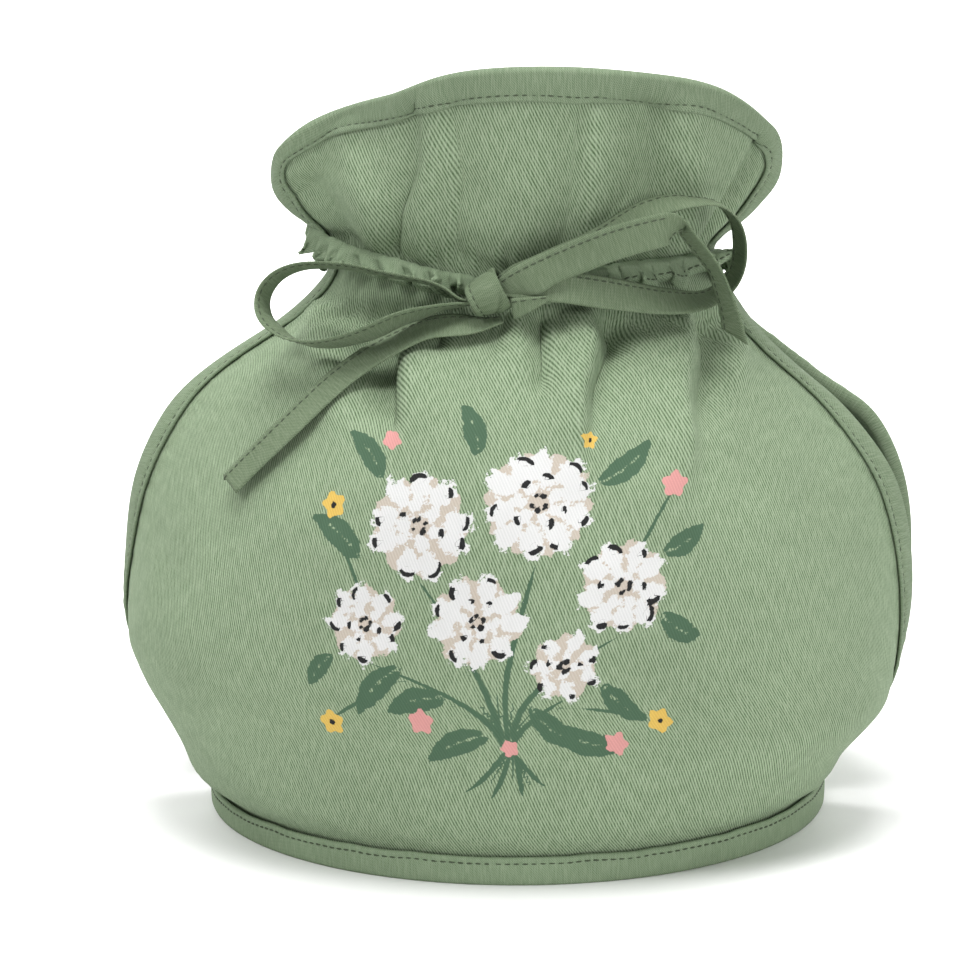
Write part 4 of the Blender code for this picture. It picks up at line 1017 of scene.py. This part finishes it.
tailRight = (
    (-3.2, -58.8, 162.9, -80, 5), (-0.1, -59.4, 166.1, -82, 8.5), (4.2, -60, 169.1, -85, 10.5),
    (10.1, -59.6, 171.9, -88, 9.6), (17.6, -59.6, 175.2, -88, 9.6), (27, -59.8, 179, -88, 9.6),
    (37, -60, 182.1, -86, 9.6), (43.7, -60, 183.7, -80, 9.6), (47.6, -59.4, 183.8, -66, 9.6),
    (50.4, -58.4, 182, -46, 9.6), (52.9, -57.4, 178.9, -32, 9.6), (55.7, -56.2, 175.2, -27, 9.6),
    (58.8, -55, 171.1, -28, 9.6), (61.8, -53.8, 165.8, -26, 9.6), (64, -52.2, 160.4, -30, 9.6),
    (66.1, -51.8, 154.7, -35, 9.6), (68.6, -51.8, 145.8, -42, 9.6),
)
tuck = (
    (2, -60.3, 159.5, -84, 6), (4.9, -60.7, 159.9, -84, 5.4), (12.4, -60.7, 160.3, -84, 1.6),
)
tapes = {
    "loopLeft": {"rows": loopLeft, "node": "tie_loop_left", "farEnd": "object"},
    "loopRight": {"rows": loopRight, "node": "tie_loop_right", "farEnd": "object", "seamAt": (0.84, 0.84)},
    "tailLeft": {"rows": tailLeft, "node": "tie_tail_left", "farEnd": "bare", "seamAt": (0.84, 0.84), "hold": 0.5,
                 "cut": 2.0},
    # folded across itself at its tenth row: the crease slants 6 mm to the right
    "tailRight": {"rows": tailRight, "node": "tie_tail_right", "farEnd": "bare", "seamAt": (0.16, 0.84),
                  "cut": -5.5, "fold": (9, 6.0, 3.4)},
    "tuck": {"rows": tuck, "node": "tie_tuck"},
}


def addTape(name, rows, node, farEnd=None, hold=0.0, cut=0.0, seamAt=(0.16, 0.16), fold=(0, 0, 1)):
    # A flat folded tape carried along a spline through the rows: one edge follows the path, the other lies
    # its width away, turned from straight back by the row's lean; it cups a little across its width.
    table = np.array(rows, float)
    knots = runAlong(table[:, :3])
    at = np.linspace(0, knots[-1], int(knots[-1] / tie["step"]) + 2)
    row = smoothThrough(knots, table, at)
    path, lean, width = row[:, :3], np.radians(row[:, 3:4]), row[:, 4:5]
    along = unit(np.gradient(path, axis=0))
    backward = unit(np.array([0, 1, 0]) - along * along[:, 1:2])
    over = np.cos(lean) * backward + np.sin(lean) * np.cross(along, backward)
    share = np.linspace(0, 1, tie["across"])[:, None]
    middle = (path - over * width * hold)[None] + (over * width)[None] * share[..., None]
    nearEnd = ease(at - at[-1] + tie["cutOver"], 0, tie["cutOver"])
    middle = middle + along[-1] * cut * share[..., None] * nearEnd[None, :, None]
    middle[..., 0] += fold[1] * share * bell(at - knots[fold[0]], fold[2])
    face = gridNormals(middle)
    fromEdge, firstPart = share * width[:, 0], at < at[-1] * tie["turnShare"]
    seamShare = np.where(firstPart, *seamAt)
    groove = stitchGroove(fromEdge - seamShare * tie["wide"], tie["groove"], 0.45, at, tie["groovePitch"], 0.6)
    cup = tie["curl"] * (1 - (2 * share - 1) ** 2) * (0.6 + 0.4 * wander(at, 7, tie["curlPitch"]))
    crinkle = tie["crinkle"] * wander(at + 2.0 * share, 11, tie["crinklePitch"]) * np.sin(np.pi * share)
    middle = middle + face * (cup + crinkle)[..., None]
    face = gridNormals(middle)
    half = tie["thick"] / 2 * (1 - 0.25 * np.abs(2 * share - 1) ** 6) - groove * 0.5
    piece = thickSheet(name, middle, face, half, at, fromEdge, tape, node)
    if farEnd:
        path = (middle[tie["across"] // 2] + toCentre) * mm
    seams = []
    for part, place in ((firstPart, seamAt[0]), (~firstPart, seamAt[1])):
        number = int(round(place * (tie["across"] - 1)))
        line, outward = (grid[number][part] for grid in (middle, face))
        seams += [(line + sign * outward * (tie["thick"] / 2 - 0.1), sign * outward) for sign in (1, -1)]
    return seams


tieSeams = []
for name, parts in tapes.items():
    tieSeams += addTape(name, **parts)


def addNeckRun(name, node):
    # the tie inside the casings, from one side of the knot round the back to the other
    rows = []
    leave, arrive = tie["neckEnds"]
    for above in np.linspace(-tie["neckTape"] / 2, tie["neckTape"] / 2, tie["neckRows"]):
        parts = []
        for base, panel, ends in ((frontBase, frontPanel, (leave, 1)), (backBase, backPanel, (1, -1)),
                                  (frontBase, frontPanel, (-1, arrive))):
            across = np.linspace(*ends, max(3, int(abs(ends[1] - ends[0]) * base["half"] / 2.0)))
            points, normal = onBase(base, base["neck"] + above + neckRise(across, panel["facing"]), across)
            parts.append(points + normal * onNeck(tie["thick"], (1 - np.abs(across)) * base["half"])[:, None])
        rows.append(np.concatenate(parts))
    middle = np.stack(rows)
    thickSheet(name, middle, gridNormals(middle), tie["thick"] / 2, runAlong(middle[2]),
               np.linspace(0, tie["neckTape"], tie["neckRows"])[:, None], tape, node)


addNeckRun("neckRun", "tie_neck_run")

knot = {"centre": (-4.6, -57.0, 160.2), "tilt": 27.0, "half": 5.2, "radii": (4.6, 6.0), "depth": 5.6, "wall": 1.0,
        "swell": 0.08, "crease": 0.5, "creaseWide": 0.035, "overlap": 0.5, "drift": (0.62, 0.34, 2.6),
        "seamGroove": 0.3, "stitchAt": 0.17, "stitched": slice(50, 94), "around": 96, "across": 34}


def addKnot(name, node):
    # One turn of tape round the gathered strands: an ellipse carried along a tilted axis, swelling in the
    # middle, with a crease that runs round it and drifts along it; the wall's mouths are rolled in.
    tilt, centre = math.radians(knot["tilt"]), np.array(knot["centre"])
    axis, depth = np.array([math.cos(tilt), 0, math.sin(tilt)]), np.array([0, 1, 0])
    rise = np.array([-math.sin(tilt), 0, math.cos(tilt)])
    turn = np.linspace(0, 2 * np.pi, knot["around"] + 1)[None, :]
    share = np.linspace(0, 1, knot["across"])[:, None]
    along = axis * (knot["half"] * (2 * share - 1))[..., None]
    radius = knot["radii"][0] + (knot["radii"][1] - knot["radii"][0]) * share
    swell, wide = 1 + knot["swell"] * np.sin(np.pi * share), knot["creaseWide"]
    middle, swing, shift = knot["drift"]
    drift = share - middle - swing * np.sin(turn + shift)
    creases = (knot["seamGroove"] * bell(share - knot["stitchAt"], wide) + knot["crease"] * bell(drift, wide)
               - knot["overlap"] * ease(drift, 0, 0.15) * np.sin(np.pi * share) ** 0.5)

    def ring(side, crease):
        # the outer face for side 1, the inner one for side -1
        wall = knot["wall"] / 2 * side * ease(np.minimum(share, 1 - share) / 0.06) ** 0.5
        tall, deep = ((size - knot["wall"] / 2) * swell + wall - crease for size in (radius, knot["depth"]))
        return centre + along + rise * (tall * np.cos(turn))[..., None] + depth * (deep * np.sin(turn))[..., None]

    outer, inner = ring(1, creases), ring(-1, 0)
    points = np.concatenate([outer, inner[::-1][1:-1]])[:, :-1]
    makePiece(name, points, gridQuads(*points.shape[:2], wrapRows=True, wrapColumns=True),
              cornerUv(turn * 5.0, np.linspace(0, 20, len(points) + 1)[:, None]), tape, node)
    k = int(round(knot["stitchAt"] * (knot["across"] - 1)))
    outward = unit(outer[k] - centre - along[k])
    return [((outer[k] - 0.1 * outward)[knot["stitched"]], outward[knot["stitched"]])]


tieSeams += addKnot("bowKnot", "tie_knot")
print("bow tied")


# stitching
stitching = {"length": 1.9, "radius": 0.30, "sink": 0.16, "bindingPitch": 2.5, "hemPitch": 2.5, "tiePitch": 2.4}


def readAlong(at, run, values):
    # the values at places between a line's own points
    return np.stack([np.interp(at, run, values[:, k]) for k in range(3)], axis=1)


def addStitches(name, seams, pitch):
    # Short rounded stitches laid at even steps along each seam line: a ring of points carried along the
    # seam's direction, thinned and sunk at both ends.
    shapes = []
    ends = np.array([-1, -0.82, -0.3, 0.3, 0.82, 1])
    girth = np.array([0.15, 0.75, 1, 1, 0.75, 0.15])[:, None]
    spin = np.linspace(0, 2 * np.pi, 6, endpoint=False)
    r = stitching["radius"]
    for line, normal in seams:
        run = runAlong(line)
        at = np.arange(pitch / 2, run[-1], pitch)
        up = unit(readAlong(at, run, normal))
        ahead = readAlong(at + 0.5, run, line) - readAlong(at - 0.5, run, line)
        ahead = unit(ahead - up * (ahead * up).sum(axis=1, keepdims=True))
        frames = (readAlong(at, run, line), up, ahead, np.cross(up, ahead))
        centre, up, ahead, aside = (vectors[:, None, None] for vectors in frames)
        height = girth * np.sin(spin) * r - stitching["sink"] * ends[:, None] ** 2
        shapes.append(centre + ahead * (ends * stitching["length"] / 2)[None, :, None, None]
                      + aside * (girth * np.cos(spin))[None, :, :, None] * r + up * height[None, :, :, None])
    points = np.concatenate(shapes)
    count, rings, around = points.shape[:3]
    start = (np.arange(count) * rings * around)[:, None, None]
    every = (gridQuads(rings, around, wrapColumns=True)[None] + start).reshape(-1, 4)
    cap = np.stack([np.arange(around), np.arange(around) + (rings - 1) * around])
    makePiece(name, points, every, np.zeros((len(every), 4, 2)), thread,
              caps=(cap[None] + start).reshape(-1, around).tolist())


for name, seams, pitch in (("stitchesFront", frontSeams, "bindingPitch"), ("stitchesBack", backSeams, "bindingPitch"),
                           ("stitchesHem", hemSeams, "hemPitch"), ("stitchesTie", tieSeams, "tiePitch"),
                           ("stitchesCasing", casingSeams, "tiePitch")):
    addStitches(name, seams, stitching[pitch])
print("seams stitched")


# floor and light, in metres
studio = {
    "floor": (0.90, 0.90, 0.90), "world": 0.38,
    # the floor's half width, its length from a point in front, the way back to its turn up, the radius there
    "wide": 3, "long": 5.5, "front": 2.2, "wallFrom": 1.4, "bend": 0.9, "rows": 60,
    # lamps: place, target, size, watts
    "lamps": {
        "key": ((-0.80, -0.80, 1.15), (0, 0, 0.14), (0.45, 0.45), 8.6),
        "fill": ((1.0, -1.1, 0.32), (0, 0, 0.07), (1.0, 0.6), 8),
        "top": ((0.0, -0.12, 1.5), (0, 0, 0.1), (0.8, 0.8), 22),
        "backdrop left": ((-1.2, 0.9, 1.6), (-0.6, 2.6, 0.6), (1.2, 1.2), 60),
        "backdrop right": ((1.2, 0.9, 1.6), (0.6, 2.6, 0.6), (1.2, 1.2), 60),
    },
}


def addFloor():
    # a pale table top that turns up into the wall behind, by a quarter circle
    wide, rows, bend, radius = (studio[key] for key in ("wide", "rows", "wallFrom", "bend"))
    across, along = np.meshgrid(np.linspace(-wide, wide, 3), np.linspace(0, 1, rows))
    run = along * studio["long"] - studio["front"]
    turn = np.clip((run - bend) / radius, 0, math.pi / 2)
    y = np.minimum(run, bend) + radius * np.sin(turn)
    z = radius * (1 - np.cos(turn)) + np.maximum(run - bend - radius * math.pi / 2, 0)
    mesh = bpy.data.meshes.new("floor")
    mesh.from_pydata(np.stack([across, y, z], axis=2).reshape(-1, 3).tolist(), [], gridQuads(rows, 3).tolist())
    mesh.shade_smooth()
    mesh.materials.append(Shading("pale floor").finish({
        "Base Color": (*studio["floor"], 1), "Roughness": 0.6, "Specular IOR Level": 0.2}))
    addObject("floor", mesh)


def addSoftbox(name, place, target, size, watts):
    # a rectangular lamp facing its target
    light = bpy.data.lights.new(name, "AREA")
    light.shape, light.energy = "RECTANGLE", watts
    light.size, light.size_y = size
    aim(addObject(name, light), place, target)


addFloor()
for name, lamp in studio["lamps"].items():
    addSoftbox(name, *lamp)
world = bpy.data.worlds.new("studio")
world.use_nodes = True
background = world.node_tree.nodes["Background"].inputs
background["Color"].default_value, background["Strength"].default_value = (1, 1, 1, 1), studio["world"]
bpy.context.scene.world = world
bpy.context.scene.view_settings.view_transform = "Standard"
print("lit")
